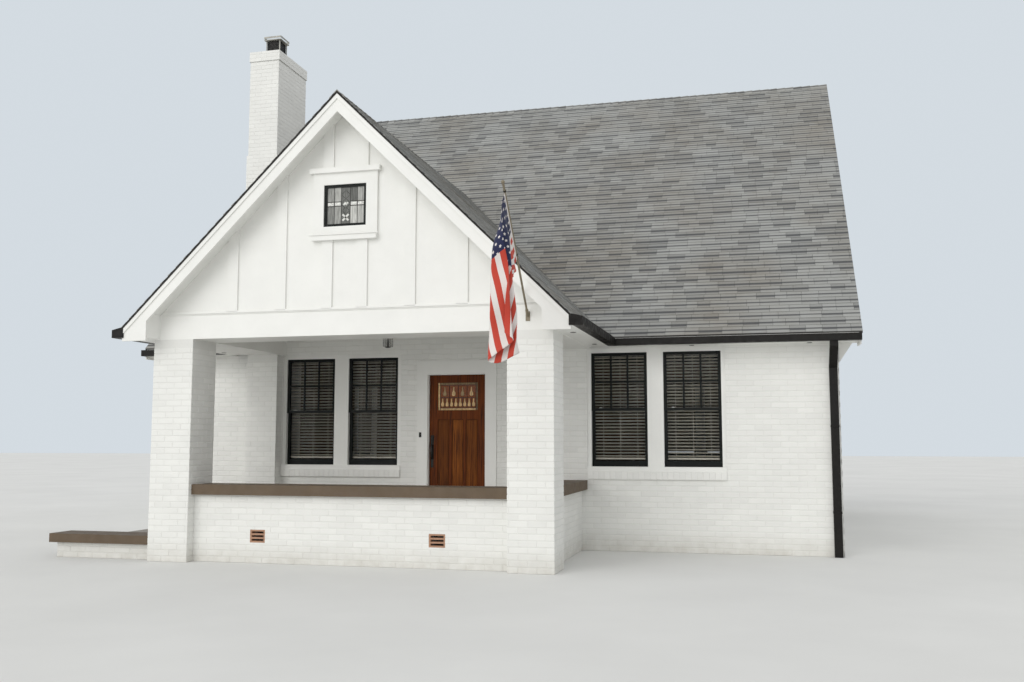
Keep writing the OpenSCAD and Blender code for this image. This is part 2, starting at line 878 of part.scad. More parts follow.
// The front wall is taller behind the porch, where it carries the ceiling
module front_wall_part(x0, x1) {
    along_x(x0, x1) wall_profile();
    box(max(x0, -pier_x), min(x1, pier_x), face_y, inner_y, 0, beam_top);
}

module front_wall_left() {
    color(wall_white) difference() {
        front_wall_part(wall_t - house_left, door_l);
        at_front(-porch_win_x) window_hole();
    }
}

module front_wall_right() {
    color(wall_white) difference() {
        front_wall_part(door_r, house_right - wall_t);
        at_front(right_win_x) window_hole();
    }
}

module doorway_walls() {
    color(wall_white) difference() {
        front_wall_part(door_l, door_r);
        box(door_l - EPS, door_r + EPS, face_y - EPS, inner_y + EPS, porch_floor_z, head_top);
    }
}

module gable_end(x0) {
    along_x(x0, x0 + wall_t)
        polygon([[face_y, 0], [rear_y, 0], [rear_y, under(main_eave)], [ridge_y, under(ridge_y - eave_y)],
            [face_y, under(main_eave)]]);
}

module left_wall() {
    color(wall_white) difference() {
        gable_end(-house_left);
        for (y = left_wins) at_left(y) window_hole();
        chimney_space(-EPS, main_apex);
    }
}

module right_wall() {
    color(wall_white) difference() {
        gable_end(house_right - wall_t);
        for (y = right_wins) at_right(y) window_hole();
    }
}

module rear_wall() {
    color(wall_white) difference() {
        front_to_rear() along_x(wall_t - house_left, house_right - wall_t) wall_profile();
        for (x = front_wins) at_rear(x) window_hole();
    }
}

module house_floor() {
    color(concrete) difference() {
        box(wall_t - house_left, house_right - wall_t, inner_y, rear_y - wall_t,
            house_floor_z - house_floor_t, house_floor_z);
        chimney_space(0, house_floor_z + EPS);
    }
}

module sash_hole(side) {
    x = side * (win_w + mullion_w) / 2;
    box(x - win_w / 2, x + win_w / 2, frame_back - EPS, frame_back + frame_d + EPS, win_z, win_z + win_h);
}

module window_frame() {
    difference() {
        union() {
            box(-pair_w / 2, pair_w / 2, frame_back, frame_back + frame_d, win_z - sill_h, open_top);
            box(-pair_w / 2, pair_w / 2, -sill_out, frame_back + EPS, win_z - sill_h, win_z);
        }
        sash_hole(-1);
        sash_hole(1);
    }
}

module window_frames() {
    color(trim_white) at_all_windows() window_frame();
}

// Two sliding sashes, the lower one set behind the upper one
module sash_pair(side) {
    x = side * (win_w + mullion_w) / 2;
    mid = win_z + win_h / 2;
    x0 = x - win_w / 2;
    x1 = x + win_w / 2;
    difference() {
        box(x0, x1, sash_y, sash_y + sash_t, mid - meeting_rail / 2, win_z + win_h);
        box(x0 + sash_w, x1 - sash_w, sash_y - EPS, sash_y + sash_t + EPS,
            mid + meeting_rail / 2, win_z + win_h - sash_w);
    }
    difference() {
        box(x0, x1, sash_y + sash_t, sash_y + 2 * sash_t, win_z, mid + meeting_rail / 2);
        box(x0 + sash_w, x1 - sash_w, sash_y + sash_t - EPS, sash_y + 2 * sash_t + EPS,
            win_z + bottom_rail, mid - meeting_rail / 2);
    }
}

module window_sashes() {
    color(sash_dark) at_all_windows() {
        sash_pair(-1);
        sash_pair(1);
    }
}

module panes(side) {
    x = side * (win_w + mullion_w) / 2;
    mid = win_z + win_h / 2;
    x0 = x - win_w / 2 + sash_w;
    x1 = x + win_w / 2 - sash_w;
    box(x0, x1, sash_y + pane_in, sash_y + pane_in + glass_t, mid + meeting_rail / 2, win_z + win_h - sash_w);
    box(x0, x1, sash_y + sash_t + pane_in, sash_y + sash_t + pane_in + glass_t,
        win_z + bottom_rail, mid - meeting_rail / 2);
}

module window_glass() {
    color(glass_grey) at_all_windows() {
        panes(-1);
        panes(1);
    }
}

module blind(side) {
    x = side * (win_w + mullion_w) / 2;
    y0 = frame_back + frame_d - blind_t;
    box(x - win_w / 2, x + win_w / 2, y0, y0 + blind_t, win_z + blind_gap, win_z + win_h);
}

module window_blinds() {
    color(trim_white) at_all_windows() {
        blind(-1);
        blind(1);
    }
}

module window_sills() {
    color(wall_white) at_all_windows()
        box(-pair_w / 2, pair_w / 2, -brick_sill_out, wall_t, open_z, open_z + brick_sill_h);
}

// One half of a hinge: a leaf on the back of the door or jamb, and its knuckle
module hinge_leaf(x0, x1, z0, z1) {
    y0 = door_y + door_t;
    box(x0, x1, y0, y0 + hinge_t, z0, z1);
    translate([hinge_x, hinge_y, z0]) cylinder(r = hinge_r, h = z1 - z0, $fn = 32);
}

// Jambs, head, sill and casings, with the fixed half of each hinge
module door_frame() {
    reveal = 8;
    case_l = jamb_l - reveal - door_case_w;
    case_r = jamb_r + reveal + door_case_w;
    back = door_y + door_t;
    color(trim_white) {
        difference() {
            union() {
                box(door_l, door_r, face_y, back, porch_floor_z, head_top);
                box(case_l, case_r, face_y - door_case_t, face_y, porch_floor_z, jamb_top + door_head_h);
            }
            box(jamb_l, jamb_r, face_y - door_case_t - EPS, back + EPS, porch_floor_z - EPS, jamb_top);
        }
        box(jamb_l - EPS, jamb_r + EPS, face_y, back, porch_floor_z, porch_floor_z + door_sill_t);
        difference() {
            box(jamb_l - EPS, jamb_r + EPS, face_y, door_y - door_gap, porch_floor_z, jamb_top + EPS);
            box(jamb_l + stop_w, jamb_r - stop_w, face_y - EPS, door_y,
                porch_floor_z - EPS, jamb_top - stop_w);
        }
        for (z = hinge_zs) hinge_leaf(hinge_x + EPS, hinge_x + hinge_w, z, z + hinge_h / 2 - FIT);
    }
}

module field_cut(y0, y1) {
    panel_w = (field_w - 2 * rib_w) / 3;
    for (i = [0:2])
        box(field_l + i * (panel_w + rib_w), field_l + i * (panel_w + rib_w) + panel_w, y0, y1,
            field_z, field_z + field_h);
}

module front_door() {
    color(door_red) {
        difference() {
            box(leaf_l, leaf_r, door_y, door_y + door_t, leaf_z, leaf_z + door_h);
            box(field_l, field_l + field_w, door_y - EPS, door_y + door_t + EPS, lite_z, lite_z + lite_h);
            field_cut(door_y - EPS, door_y + field_d);
            field_cut(door_y + door_t - field_d, door_y + door_t + EPS);
        }
        for (z = hinge_zs) hinge_leaf(leaf_r - hinge_w, hinge_x - EPS, z + hinge_h / 2, z + hinge_h);
    }
}

module door_glass() {
    y0 = door_y + door_t / 2 - glass_t / 2;
    color(glass_grey) box(field_l, field_l + field_w, y0, y0 + glass_t, lite_z, lite_z + lite_h);
}

// The bowed grip from its side, with its upper and lower ends in the plate
module grip_profile(plate_t) {
    out = 58;
    bar = 13;
    top = 60;
    foot = -150;
    bow = 10;
    difference() {
        polygon([[-plate_t, top], [bow - out, top - 15], [-out, -40], [bow - out, foot + 20],
            [-plate_t, foot]]);
        polygon([[1 - plate_t, top - 22], [bow + bar - out, top - 32], [bar - out, -40],
            [bow + bar - out, foot + 34], [1 - plate_t, foot + 20]]);
    }
}

// Outside: a long plate with a lock rose and a grip. Inside: a plate with a round knob
module door_handle() {
    x = leaf_l + handle_in;
    z = leaf_z + handle_z;
    y = door_y;
    y_in = door_y + door_t;
    half_w = handle_w / 2;
    plate_t = 6;
    rose_r = 18;
    rose_z = z + 0.32 * handle_l;
    grip_half = 9;
    knob_r = 28;
    knob_out = 63;
    neck_r = 11;
    color(metal_dark) {
        box(x - half_w, x + half_w, y - plate_t, y, z - handle_l / 2, z + handle_l / 2);
        translate([x, y, rose_z]) rotate([90, 0, 0]) cylinder(r = rose_r, h = rose_r, $fn = 32);
        translate([0, y, z]) along_x(x - grip_half, x + grip_half) grip_profile(plate_t);
        box(x - half_w, x + half_w, y_in, y_in + plate_t, z - handle_l / 5, z + handle_l * 2 / 5);
        translate([x, y_in, z]) rotate([-90, 0, 0]) rotate_extrude($fn = 40)
            polygon([[0, 0], [neck_r, 0], [neck_r, knob_out / 2], [knob_r - 2, knob_out / 2 + 8],
                [knob_r, knob_out - 13], [knob_r - 6, knob_out - 3], [0, knob_out]]);
    }
}

module chimney() {
    color(wall_white) {
        box(chimney_l, chimney_r, chimney_f, chimney_b, shoulder_z - EPS, chimney_h);
        box(chimney_l - shoulder_out, chimney_r + shoulder_out, chimney_f - shoulder_out,
            chimney_b + shoulder_out, 0, shoulder_z);
        box(chimney_l - band_out, chimney_r + band_out, chimney_f - band_out, chimney_b + band_out,
            chimney_h - band_h, chimney_h);
    }
}

// A square metal flue on a base plate, with four legs that carry a low pitched lid
module chimney_cap() {
    x = (chimney_l + chimney_r) / 2;
    half = cap_w / 2;
    lid_z = cap_h - lid_h;
    leg_in = 45;
    leg_t = 16;
    flue_r = half - 60;
    hole_r = flue_r - leg_t;
    color(metal_dark) translate([x, chimney_f + cap_back, chimney_h]) {
        box(-half, half, -half, half, 0, base_plate_t);
        difference() {
            box(-flue_r, flue_r, -flue_r, flue_r, 0, flue_h);
            box(-hole_r, hole_r, -hole_r, hole_r, base_plate_t, flue_h + EPS);
        }
        for (a = [0:90:270]) rotate([0, 0, a])
            box(half - leg_in, half - leg_in + leg_t, leg_in - leg_t - half, leg_in - half, 0, lid_z);
        box(-half, half, -half, half, lid_z - EPS, lid_z + base_plate_t);
        translate([0, 0, lid_z + base_plate_t]) rotate([0, 0, 45])
            cylinder(r1 = half * sqrt(2), r2 = lid_top_r, h = lid_h - base_plate_t, $fn = 4);
    }
}

// Everything of the flag is drawn with the pole in the plane x = 0, rising towards -Y
module at_flag() {
    translate([flag_x, -half_pier, flag_z]) rotate([0, 0, pole_turn]) children();
}

module flag_pole() {
    socket_r = pole_r + 6;
    socket_l = 95;
    socket_foot = socket_r * tan(pole_rise);
    pole_foot = 90;
    ball_r = 1.6 * pole_r;
    plate_half = 25;
    plate_up = 55;
    plate_t = 8;
    color(metal_dark) translate([flag_x, -half_pier, flag_z])
        box(-plate_half, plate_half, -plate_t, 0, -plate_up, plate_up);
    color(metal_dark) at_flag() rotate([90 - pole_rise, 0, 0]) {
        translate([0, 0, socket_foot]) cylinder(r = socket_r, h = socket_l, $fn = 32);
        translate([0, 0, pole_foot]) cylinder(r = pole_r, h = pole_l - pole_foot, $fn = 32);
        translate([0, 0, pole_l]) sphere(r = ball_r, $fn = 32);
    }
}

// The folded cloth narrows to its top corner at the tip, and its last fold hangs lowest
module flag() {
    c = cos(pole_rise);
    s = sin(pole_rise);
    far = pole_l - flag_tip_in;
    near = far - flag_w;
    far_y = -far * c;
    top_z = far * s;
    drop = (pole_r + FIT) / c;
    fold_y = far_y + flag_fold_d;
    full_z = top_z - flag_w;
    foot_z = top_z - flag_drop;
    half = flag_fold_w / 2;
    color(flag_red) at_flag() intersection() {
        along_x(-half, half)
            polygon([[far_y, top_z - drop], [-near * c, near * s - drop], [-near * c, near * s - flag_fold_d],
                [fold_y, full_z - flag_fold_d], [fold_y, foot_z], [far_y, foot_z + flag_fold_d]]);
        along_y(far_y - EPS, -near * c + EPS)
            polygon([[-flag_hem_w, top_z], [flag_hem_w, top_z], [half, full_z], [half, foot_z + flag_fold_w],
                [0, foot_z], [-half, foot_z + flag_hem_w], [-half, full_z]]);
    }
}

left_pier();
right_pier();
porch_front_wall();
porch_side_wall();
wall_copings();
wall_vents();
porch_floor();
entry_landing();
cheek_wall();
porch_pilaster();
porch_beam();
side_beams();
porch_ceiling();
porch_light();
gable_wall();
gable_battens();
gable_window_casing();
gable_window_frame();
gable_window_glass();
bargeboards();
porch_roof();
porch_eaves();
porch_gutters();
main_roof_front();
main_roof_rear();
rake_boards();
main_eaves();
main_gutters();
downspouts();
front_wall_left();
front_wall_right();
doorway_walls();
left_wall();
right_wall();
rear_wall();
house_floor();
window_frames();
window_sashes();
window_glass();
window_blinds();
window_sills();
door_frame();
front_door();
door_glass();
door_handle();
chimney();
chimney_cap();
flag_pole();
flag();
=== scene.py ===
import json
import math
import random

import bpy
import mathutils
from mathutils import Matrix, Vector


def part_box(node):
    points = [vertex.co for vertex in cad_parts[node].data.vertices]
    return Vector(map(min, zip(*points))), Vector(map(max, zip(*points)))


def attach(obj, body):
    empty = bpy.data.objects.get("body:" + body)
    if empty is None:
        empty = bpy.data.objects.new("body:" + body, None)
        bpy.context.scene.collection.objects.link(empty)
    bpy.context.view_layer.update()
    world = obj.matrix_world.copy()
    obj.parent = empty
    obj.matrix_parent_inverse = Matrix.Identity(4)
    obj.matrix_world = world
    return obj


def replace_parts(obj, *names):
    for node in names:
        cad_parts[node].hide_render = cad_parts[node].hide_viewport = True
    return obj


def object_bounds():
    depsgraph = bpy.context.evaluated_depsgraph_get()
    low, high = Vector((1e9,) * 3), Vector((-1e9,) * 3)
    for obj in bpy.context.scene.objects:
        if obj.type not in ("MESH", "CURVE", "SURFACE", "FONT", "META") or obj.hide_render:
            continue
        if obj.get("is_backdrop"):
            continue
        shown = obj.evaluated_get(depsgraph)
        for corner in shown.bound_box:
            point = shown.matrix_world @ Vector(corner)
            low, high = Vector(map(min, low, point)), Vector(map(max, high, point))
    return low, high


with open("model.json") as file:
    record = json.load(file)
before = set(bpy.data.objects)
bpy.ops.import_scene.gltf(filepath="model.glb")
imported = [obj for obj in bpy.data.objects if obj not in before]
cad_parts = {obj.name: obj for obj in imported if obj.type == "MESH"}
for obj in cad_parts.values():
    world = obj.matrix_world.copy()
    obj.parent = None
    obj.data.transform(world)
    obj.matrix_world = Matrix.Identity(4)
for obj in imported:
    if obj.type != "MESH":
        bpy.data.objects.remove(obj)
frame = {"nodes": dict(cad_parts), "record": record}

bl_info = {
    "name": "White brick bungalow",
    "version": (1, 0, 0),
    "blender": (4, 5, 0),
    "location": "View3D > Sidebar > Bungalow",
    "description": "Builds the bricks, shingles, windows, door and flag of a bungalow around its frame",
    "category": "Object",
}

FRAME_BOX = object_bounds()
UP = Vector((0, 0, 1))
PITCH = math.radians(44.5)


def corners(node):
    """The lowest and highest corner of a node, as vectors."""
    low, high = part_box(node)
    return Vector(low), Vector(high)


def colour(name, text, value):
    return bpy.props.FloatVectorProperty(name=name, description=text, subtype="COLOR", size=3,
                                         min=0.0, max=1.0, default=[c / 255 for c in value])


def length(name, text, value, low=0.0, high=10.0):
    return bpy.props.FloatProperty(name=name, description=text, default=value, min=low, max=high,
                                   unit="LENGTH", subtype="DISTANCE", precision=4)


class BungalowSizes(bpy.types.PropertyGroup):
    """Sizes of the small repeated pieces."""

    brick_pitch: length("Brick pitch", "Length of a brick and its upright joint", 0.215)
    course: length("Course height", "Height of a brick course with its joint", 0.0733)
    joint: length("Joint width", "Width of the mortar joints", 0.009)
    brick_proud: length("Brick relief", "How far the brick faces stand out of the mortar", 0.0035)
    brick_depth: length("Brick thickness", "Thickness of the facing that is laid", 0.007)
    chamfer: length("Brick edge", "Width of the worn edge round a brick face", 0.004)
    exposure: length("Shingle exposure", "Height of a shingle course up the slope", 0.147)
    tab_least: length("Narrowest tab", "Least width of a shingle tab", 0.15)
    tab_most: length("Widest tab", "Greatest width of a shingle tab", 0.31)
    tab_rise: length("Tab lift", "How far the lower edge of a tab stands off the roof", 0.009)
    slat_pitch: length("Slat pitch", "Distance from one blind slat to the next", 0.0435)
    slat_width: length("Slat width", "Width of a blind slat", 0.048)
    slat_tilt: bpy.props.FloatProperty(name="Slat tilt", description="Tilt of the slats from level",
                                       default=math.radians(19), unit="ROTATION", subtype="ANGLE")
    closed_tilt: bpy.props.FloatProperty(name="Closed tilt", description="Tilt of the slats at the back and sides",
                                         default=math.radians(76), unit="ROTATION", subtype="ANGLE")
    bar_width: length("Window bar width", "Width of the bars of the upper sashes", 0.026)
    lead_width: length("Lead width", "Width of the lead strips in the leaded glass", 0.009)
    flag_hoist: length("Flag hoist", "Side of the flag that is tied to the pole", 0.91)
    flag_fly: length("Flag fly", "Length of the flag away from the pole", 1.52)


class BungalowColours(bpy.types.PropertyGroup):
    """Colours of the finishes, as they look in even light."""

    brick: colour("Brick paint", "White paint on the bricks", (239, 239, 235))
    mortar: colour("Mortar", "Painted joints between the bricks", (230, 230, 226))
    # The indoor plaster is a dark brown that paints in the shade of the dim rooms seen through the windows.
    shaded_plaster: colour("Indoor plaster", "Warm plaster of the walls indoors", (112, 80, 52))
    trim: colour("Trim paint", "White paint on boards and frames", (240, 240, 236))
    coping: colour("Coping", "Brown paint on the wall tops", (100, 84, 66))
    concrete: colour("Concrete", "Porch floor and landing", (158, 152, 144))
    clay: colour("Clay", "Fired clay of the wall vents", (182, 142, 116))
    shingle_dark: colour("Shingle, dark", "Shadow lines and dark granules", (62, 63, 66))
    shingle_light: colour("Shingle, light", "Lightest shingle tabs", (174, 175, 172))
    shingle_warm: colour("Shingle, warm", "Brownish granules in the shingles", (142, 134, 120))
    felt: colour("Roof edge", "Dark edge and underlay of the roof", (38, 35, 32))
    gutter: colour("Gutter", "Dark bronze gutters", (19, 16, 13))
    sash: colour("Sash paint", "Black-green paint of the sashes", (16, 20, 18))
    glass: colour("Window glass", "Tint of the panes", (26, 30, 30))
    blind: colour("Blind slats", "Off-white slats", (226, 221, 207))
    # The slats of the blinds at the back and sides are made darker: painted shade of the dim rooms.
    back_blind_shade: colour("Blind lining", "Linen side of the closed blinds", (136, 120, 96))
    panel: colour("Door panels", "Lighter wood of the door panels", (138, 78, 28))
    door: colour("Door wood", "Red-brown varnished wood", (112, 56, 20))
    door_dark: colour("Door grain", "Darker grain of the door wood", (54, 23, 8))
    iron: colour("Ironwork", "Blackened metal", (30, 28, 26))
    steel: colour("Weathered steel", "Dull zinc of the chimney cap", (172, 170, 162))
    pole: colour("Flagpole", "Pale bronze paint of the flagpole", (134, 124, 104))
    boards: colour("Floor boards", "Oak of the house floor", (120, 88, 58))
    flag_red: colour("Flag red", "Red stripes", (198, 62, 42))
    flag_white: colour("Flag white", "White stripes and stars", (232, 226, 222))
    flag_blue: colour("Flag blue", "Blue field", (15, 25, 70))


def sizes():
    return bpy.context.scene.bungalow_sizes


def colours():
    return bpy.context.scene.bungalow_colours


# Materials

SPLASH = (0.62, 0.58, 0.50)
DUST = (0.42, 0.39, 0.34)
THREAD_GAP = (0.3, 0.28, 0.27)
LAMP_FILM = ((0.10, 0.10, 0.09), (0.24, 0.24, 0.22))
GREEN_BLACK = (0.0, 0.004, 0.002)
LEAD = (0.17, 0.165, 0.15)
OBSCURE, STREAKY, CLEAR = (0.5, 0.5, 0.48), (0.86, 0.86, 0.84), (0.97, 0.97, 0.95)
AMBER, CREAM = (0.60, 0.32, 0.13), (1.0, 0.84, 0.60)
PALE_FLOOR = ((0.87, 0.87, 0.86), (0.90, 0.90, 0.89))


def linear(shade, factor=1.0):
    """A colour as the nodes need it, made lighter or darker by a factor."""
    return tuple(min(1.0, c * factor) for c in mathutils.Color(shade).from_srgb_to_scene_linear())


class Finish:
    """A node material on one Principled shader."""

    def __init__(self, name, rough=0.6, metal=0.0, gloss=0.5, coords="Object"):
        self.material = bpy.data.materials.new(name)
        self.material.use_nodes = True
        self.nodes = self.material.node_tree.nodes
        self.links = self.material.node_tree.links
        self.shader = self.nodes["Principled BSDF"]
        for socket, value in (("Roughness", rough), ("Metallic", metal), ("Specular IOR Level", gloss)):
            self.shader.inputs[socket].default_value = value
        self.place = self.nodes.new("ShaderNodeTexCoord").outputs[coords]

    def node(self, kind, inputs, output=0, **settings):
        """One output of a new node. An input that is a socket is linked, any other is set."""
        node = self.nodes.new(kind)
        for name, value in settings.items():
            setattr(node, name, value)
        for key, value in inputs.items():
            if isinstance(value, bpy.types.NodeSocket):
                self.links.new(value, node.inputs[key])
            else:
                node.inputs[key].default_value = value
        return node.outputs[output]

    def mapped(self, *scale):
        return self.node("ShaderNodeMapping", {"Scale": scale, "Vector": self.place}, "Vector")

    def noise(self, scale, detail=4.0, rough=0.55, where=None):
        return self.node("ShaderNodeTexNoise", {"Scale": scale, "Detail": detail, "Roughness": rough,
                                                "Vector": where or self.place}, "Fac")

    def tone(self):
        return self.node("ShaderNodeAttribute", {}, "Fac", attribute_name="tone")

    def split(self):
        """The outputs X, Y and Z of the place."""
        node = self.nodes.new("ShaderNodeSeparateXYZ")
        self.links.new(self.place, node.inputs[0])
        return node.outputs

    def ramp(self, source, *stops):
        node = self.nodes.new("ShaderNodeValToRGB")
        band = node.color_ramp
        while len(band.elements) < len(stops):
            band.elements.new(0.5)
        for element, (place, shade) in zip(band.elements, stops):
            element.position = place
            element.color = (*shade, 1)
        self.links.new(source, node.inputs["Fac"])
        return node.outputs["Color"]

    def fade(self, source, shade, dark, light=1.0, low=0.3, high=0.7):
        """One colour from its dark to its light strength."""
        return self.ramp(source, (low, linear(shade, dark)), (high, linear(shade, light)))

    def mix(self, factor, first, second):
        first, second = (shade if isinstance(shade, bpy.types.NodeSocket) else (*shade, 1) for shade in (first, second))
        return self.node("ShaderNodeMix", {0: factor, 6: first, 7: second}, 2, data_type="RGBA")

    def calc(self, first, kind, second=0.0):
        return self.node("ShaderNodeMath", {0: first, 1: second}, operation=kind)

    def both(self, first, second):
        return self.calc(first, "MULTIPLY", second)

    def span(self, source, low, high, out_low, out_high):
        return self.node("ShaderNodeMapRange", {1: low, 2: high, 3: out_low, 4: out_high, 0: source})

    def cover(self, base, source, low, high, most, shade):
        """Lays a colour over the base, from none of it where the source is low to most where it is high."""
        return self.mix(self.span(source, low, high, 0, most), base, shade)

    def colour(self, socket):
        self.links.new(socket, self.shader.inputs["Base Color"])

    def rough(self, source, low, high):
        self.links.new(self.span(source, 0.3, 0.7, low, high), self.shader.inputs["Roughness"])

    def alpha(self, source, low, high):
        self.links.new(self.span(source, 0.3, 0.7, low, high), self.shader.inputs["Alpha"])

    def bump(self, source, strength, depth):
        normal = self.node("ShaderNodeBump", {"Strength": strength, "Distance": depth, "Height": source}, "Normal")
        self.links.new(normal, self.shader.inputs["Normal"])


def indoor_span():
    """How far the rooms reach in X and Y, to just inside the wall thickness."""
    left, right = corners("left_wall"), corners("right_wall")
    front, rear = corners("front_wall_left"), corners("rear_wall")
    skin = 0.004
    return (left[1].x - skin, right[0].x + skin), (front[1].y - skin, rear[0].y + skin)


def painted_brick(name, shade, variation, indoors=None):
    made = Finish(name, rough=0.72)
    base = made.fade(made.noise(2.1, detail=5), shade, 0.95, low=0.32, high=0.62)
    base = made.cover(base, made.tone(), 0, 1, variation, linear(shade, 0.78))
    base = made.cover(base, made.noise(240, detail=3, rough=0.7), 0.60, 0.78, 0.14, linear(shade, 0.6))
    place = made.split()
    foot = made.both(made.span(place["Z"], 0.0, 0.28, 0.55, 0.0), made.noise(7))
    base = made.mix(foot, base, linear(SPLASH, 0.9))
    # Indoors the walls take the dark plaster colour: painted shade of the dim rooms.
    if indoors:
        between = [made.both(made.calc(place[axis], "GREATER_THAN", low), made.calc(place[axis], "LESS_THAN", high))
                   for axis, (low, high) in zip("XY", indoor_span())]
        base = made.mix(made.both(*between), base, linear(indoors))
    made.colour(base)
    made.rough(made.noise(30), 0.62, 0.82)
    made.bump(made.calc(made.noise(160, detail=6), "ADD", made.noise(38, detail=3)), 0.45, 0.0012)
    return made.material


def painted_wood(name, shade, rough=0.48, gloss=0.5, shaded=None):
    made = Finish(name, rough=rough, gloss=gloss)
    base = made.fade(made.noise(2.3, detail=4), shade, 0.955, high=0.65)
    base = made.cover(base, made.noise(21, detail=6, rough=0.7), 0.56, 0.8, 0.12, linear(shade, 0.72))
    # Faces with tone 1 take the shaded colour, a painted shade.
    if shaded:
        base = made.mix(made.tone(), base, linear(shaded))
    made.colour(base)
    made.rough(made.noise(14), rough - 0.08, rough + 0.1)
    made.bump(made.noise(60, detail=5, where=made.mapped(1, 1, 0.14)), 0.22, 0.0007)
    return made.material


def worn_stone(name, shade, grain=90, spread=0.8, rough=0.85):
    made = Finish(name, rough=rough)
    base = made.fade(made.noise(4.2, detail=7, rough=0.65), shade, spread, 1.08)
    speck = made.noise(grain, detail=4, rough=0.75)
    made.colour(made.cover(base, speck, 0.52, 0.75, 0.45, linear(shade, 0.6)))
    made.rough(made.noise(12), rough - 0.12, min(1.0, rough + 0.08))
    made.bump(speck, 0.6, 0.0015)
    return made.material


def rise_of_course():
    """How much higher each shingle course lies than the one below."""
    return sizes().exposure * math.sin(PITCH)


def shingle_tabs():
    shades = colours()
    light, dark = shades.shingle_light, linear(shades.shingle_dark)
    made = Finish("shingle_granules", rough=0.92)
    tone = made.tone()
    base = made.ramp(tone, (0.0, linear(light, 0.68)), (0.4, linear(light, 0.86)), (1.0, linear(light)))
    base = made.cover(base, made.noise(0.8, detail=5), 0.4, 0.7, 0.6, linear(shades.shingle_warm))
    above = made.calc(made.split()["Z"], "SUBTRACT", corners("main_roof_front")[1].z % rise_of_course() - 0.004)
    in_course = made.calc(made.calc(above, "DIVIDE", rise_of_course()), "MODULO", 1.0)
    # A dark band under the butt of each next course: the darker granules of laminated shingles, with the butt's shadow
    # painted in.
    shadow_starts = made.span(tone, 0, 1, 0.60, 0.78)
    base = made.cover(base, made.calc(in_course, "SUBTRACT", shadow_starts), 0.0, 0.12, 0.85, dark)
    grains = made.noise(330, detail=3, rough=0.8)
    base = made.cover(base, grains, 0.3, 0.7, 0.35, dark)
    made.colour(made.cover(base, made.noise(420, detail=2, rough=0.8), 0.6, 0.75, 0.4, linear(light, 1.5)))
    made.bump(made.calc(grains, "ADD", made.noise(60)), 0.7, 0.0015)
    return made.material


def dark_metal(name, shade, rough=0.42, metal=0.35, dust_share=0.3, gloss=0.5):
    made = Finish(name, rough=rough, metal=metal, gloss=gloss)
    base = made.fade(made.noise(5.5, detail=6), shade, 0.75, 1.15)
    made.colour(made.cover(base, made.noise(48, detail=5, rough=0.7), 0.55, 0.8, dust_share, linear(DUST)))
    made.rough(made.noise(17), rough - 0.1, rough + 0.2)
    made.bump(made.noise(70), 0.18, 0.0006)
    return made.material


def window_pane(name, shade, cover):
    made = Finish(name, rough=0.06, gloss=0.25)
    film = made.noise(2.6, detail=4)
    made.colour(made.fade(film, shade, 0.8, 1.5))
    made.alpha(film, cover - 0.05, cover + 0.05)
    made.rough(made.noise(8), 0.03, 0.09)
    return made.material


def varnished_wood(name, shade, dark, toned=False):
    made = Finish(name, rough=0.34, gloss=0.1)
    grain = made.noise(1.6, detail=8, rough=0.62, where=made.mapped(46, 46, 1.5))
    base = made.ramp(grain, (0.34, linear(dark)), (0.52, linear(shade)), (0.72, linear(shade, 1.35)))
    base = made.cover(base, made.noise(1.7, detail=3), 0.35, 0.7, 0.4, linear(dark, 1.2))
    if toned:
        base = made.mix(made.tone(), made.mix(0.6, base, linear(dark)), base)
    made.colour(base)
    made.rough(grain, 0.42, 0.6)
    made.bump(grain, 0.3, 0.0008)
    return made.material


def roof_slab(name, node, axis, middle, edge_axis, edges):
    """Dark felt and edges, with white boards under the overhang past the edges of the house."""
    shades = colours()
    made = Finish(name, rough=0.8)
    grit = made.noise(220, detail=4, rough=0.75)
    felt = made.fade(grit, shades.felt, 0.7, 1.2)
    paint = made.fade(made.noise(3.0), shades.trim, 0.95)
    place = made.split()
    away = made.calc(made.calc(place[axis], "SUBTRACT", middle), "ABSOLUTE")
    risen = made.calc(made.both(away, math.tan(PITCH)), "ADD", place["Z"])
    under = made.calc(made.calc(corners(node)[1].z, "SUBTRACT", risen), "GREATER_THAN", 0.05)
    past = made.calc(made.calc(place[edge_axis], "LESS_THAN", edges[0]), "MAXIMUM",
                     made.calc(place[edge_axis], "GREATER_THAN", edges[1]))
    made.colour(made.mix(made.both(under, past), felt, paint))
    made.bump(grit, 0.3, 0.0008)
    return made.material


def opal_glass(name, shade, cover, grain, rough=0.16, toned=False):
    """Pale streaky glass for leaded lights."""
    made = Finish(name, rough=rough, gloss=0.12)
    streaks = made.noise(1.0, detail=5, rough=0.6, where=made.mapped(*grain))
    base = made.fade(streaks, shade, 0.5, low=0.32, high=0.66)
    if toned:
        base = made.mix(made.tone(), made.mix(0.80, base, GREEN_BLACK), base)
    made.colour(base)
    made.alpha(streaks, cover - 0.08, cover)
    made.bump(streaks, 0.5, 0.001)
    return made.material


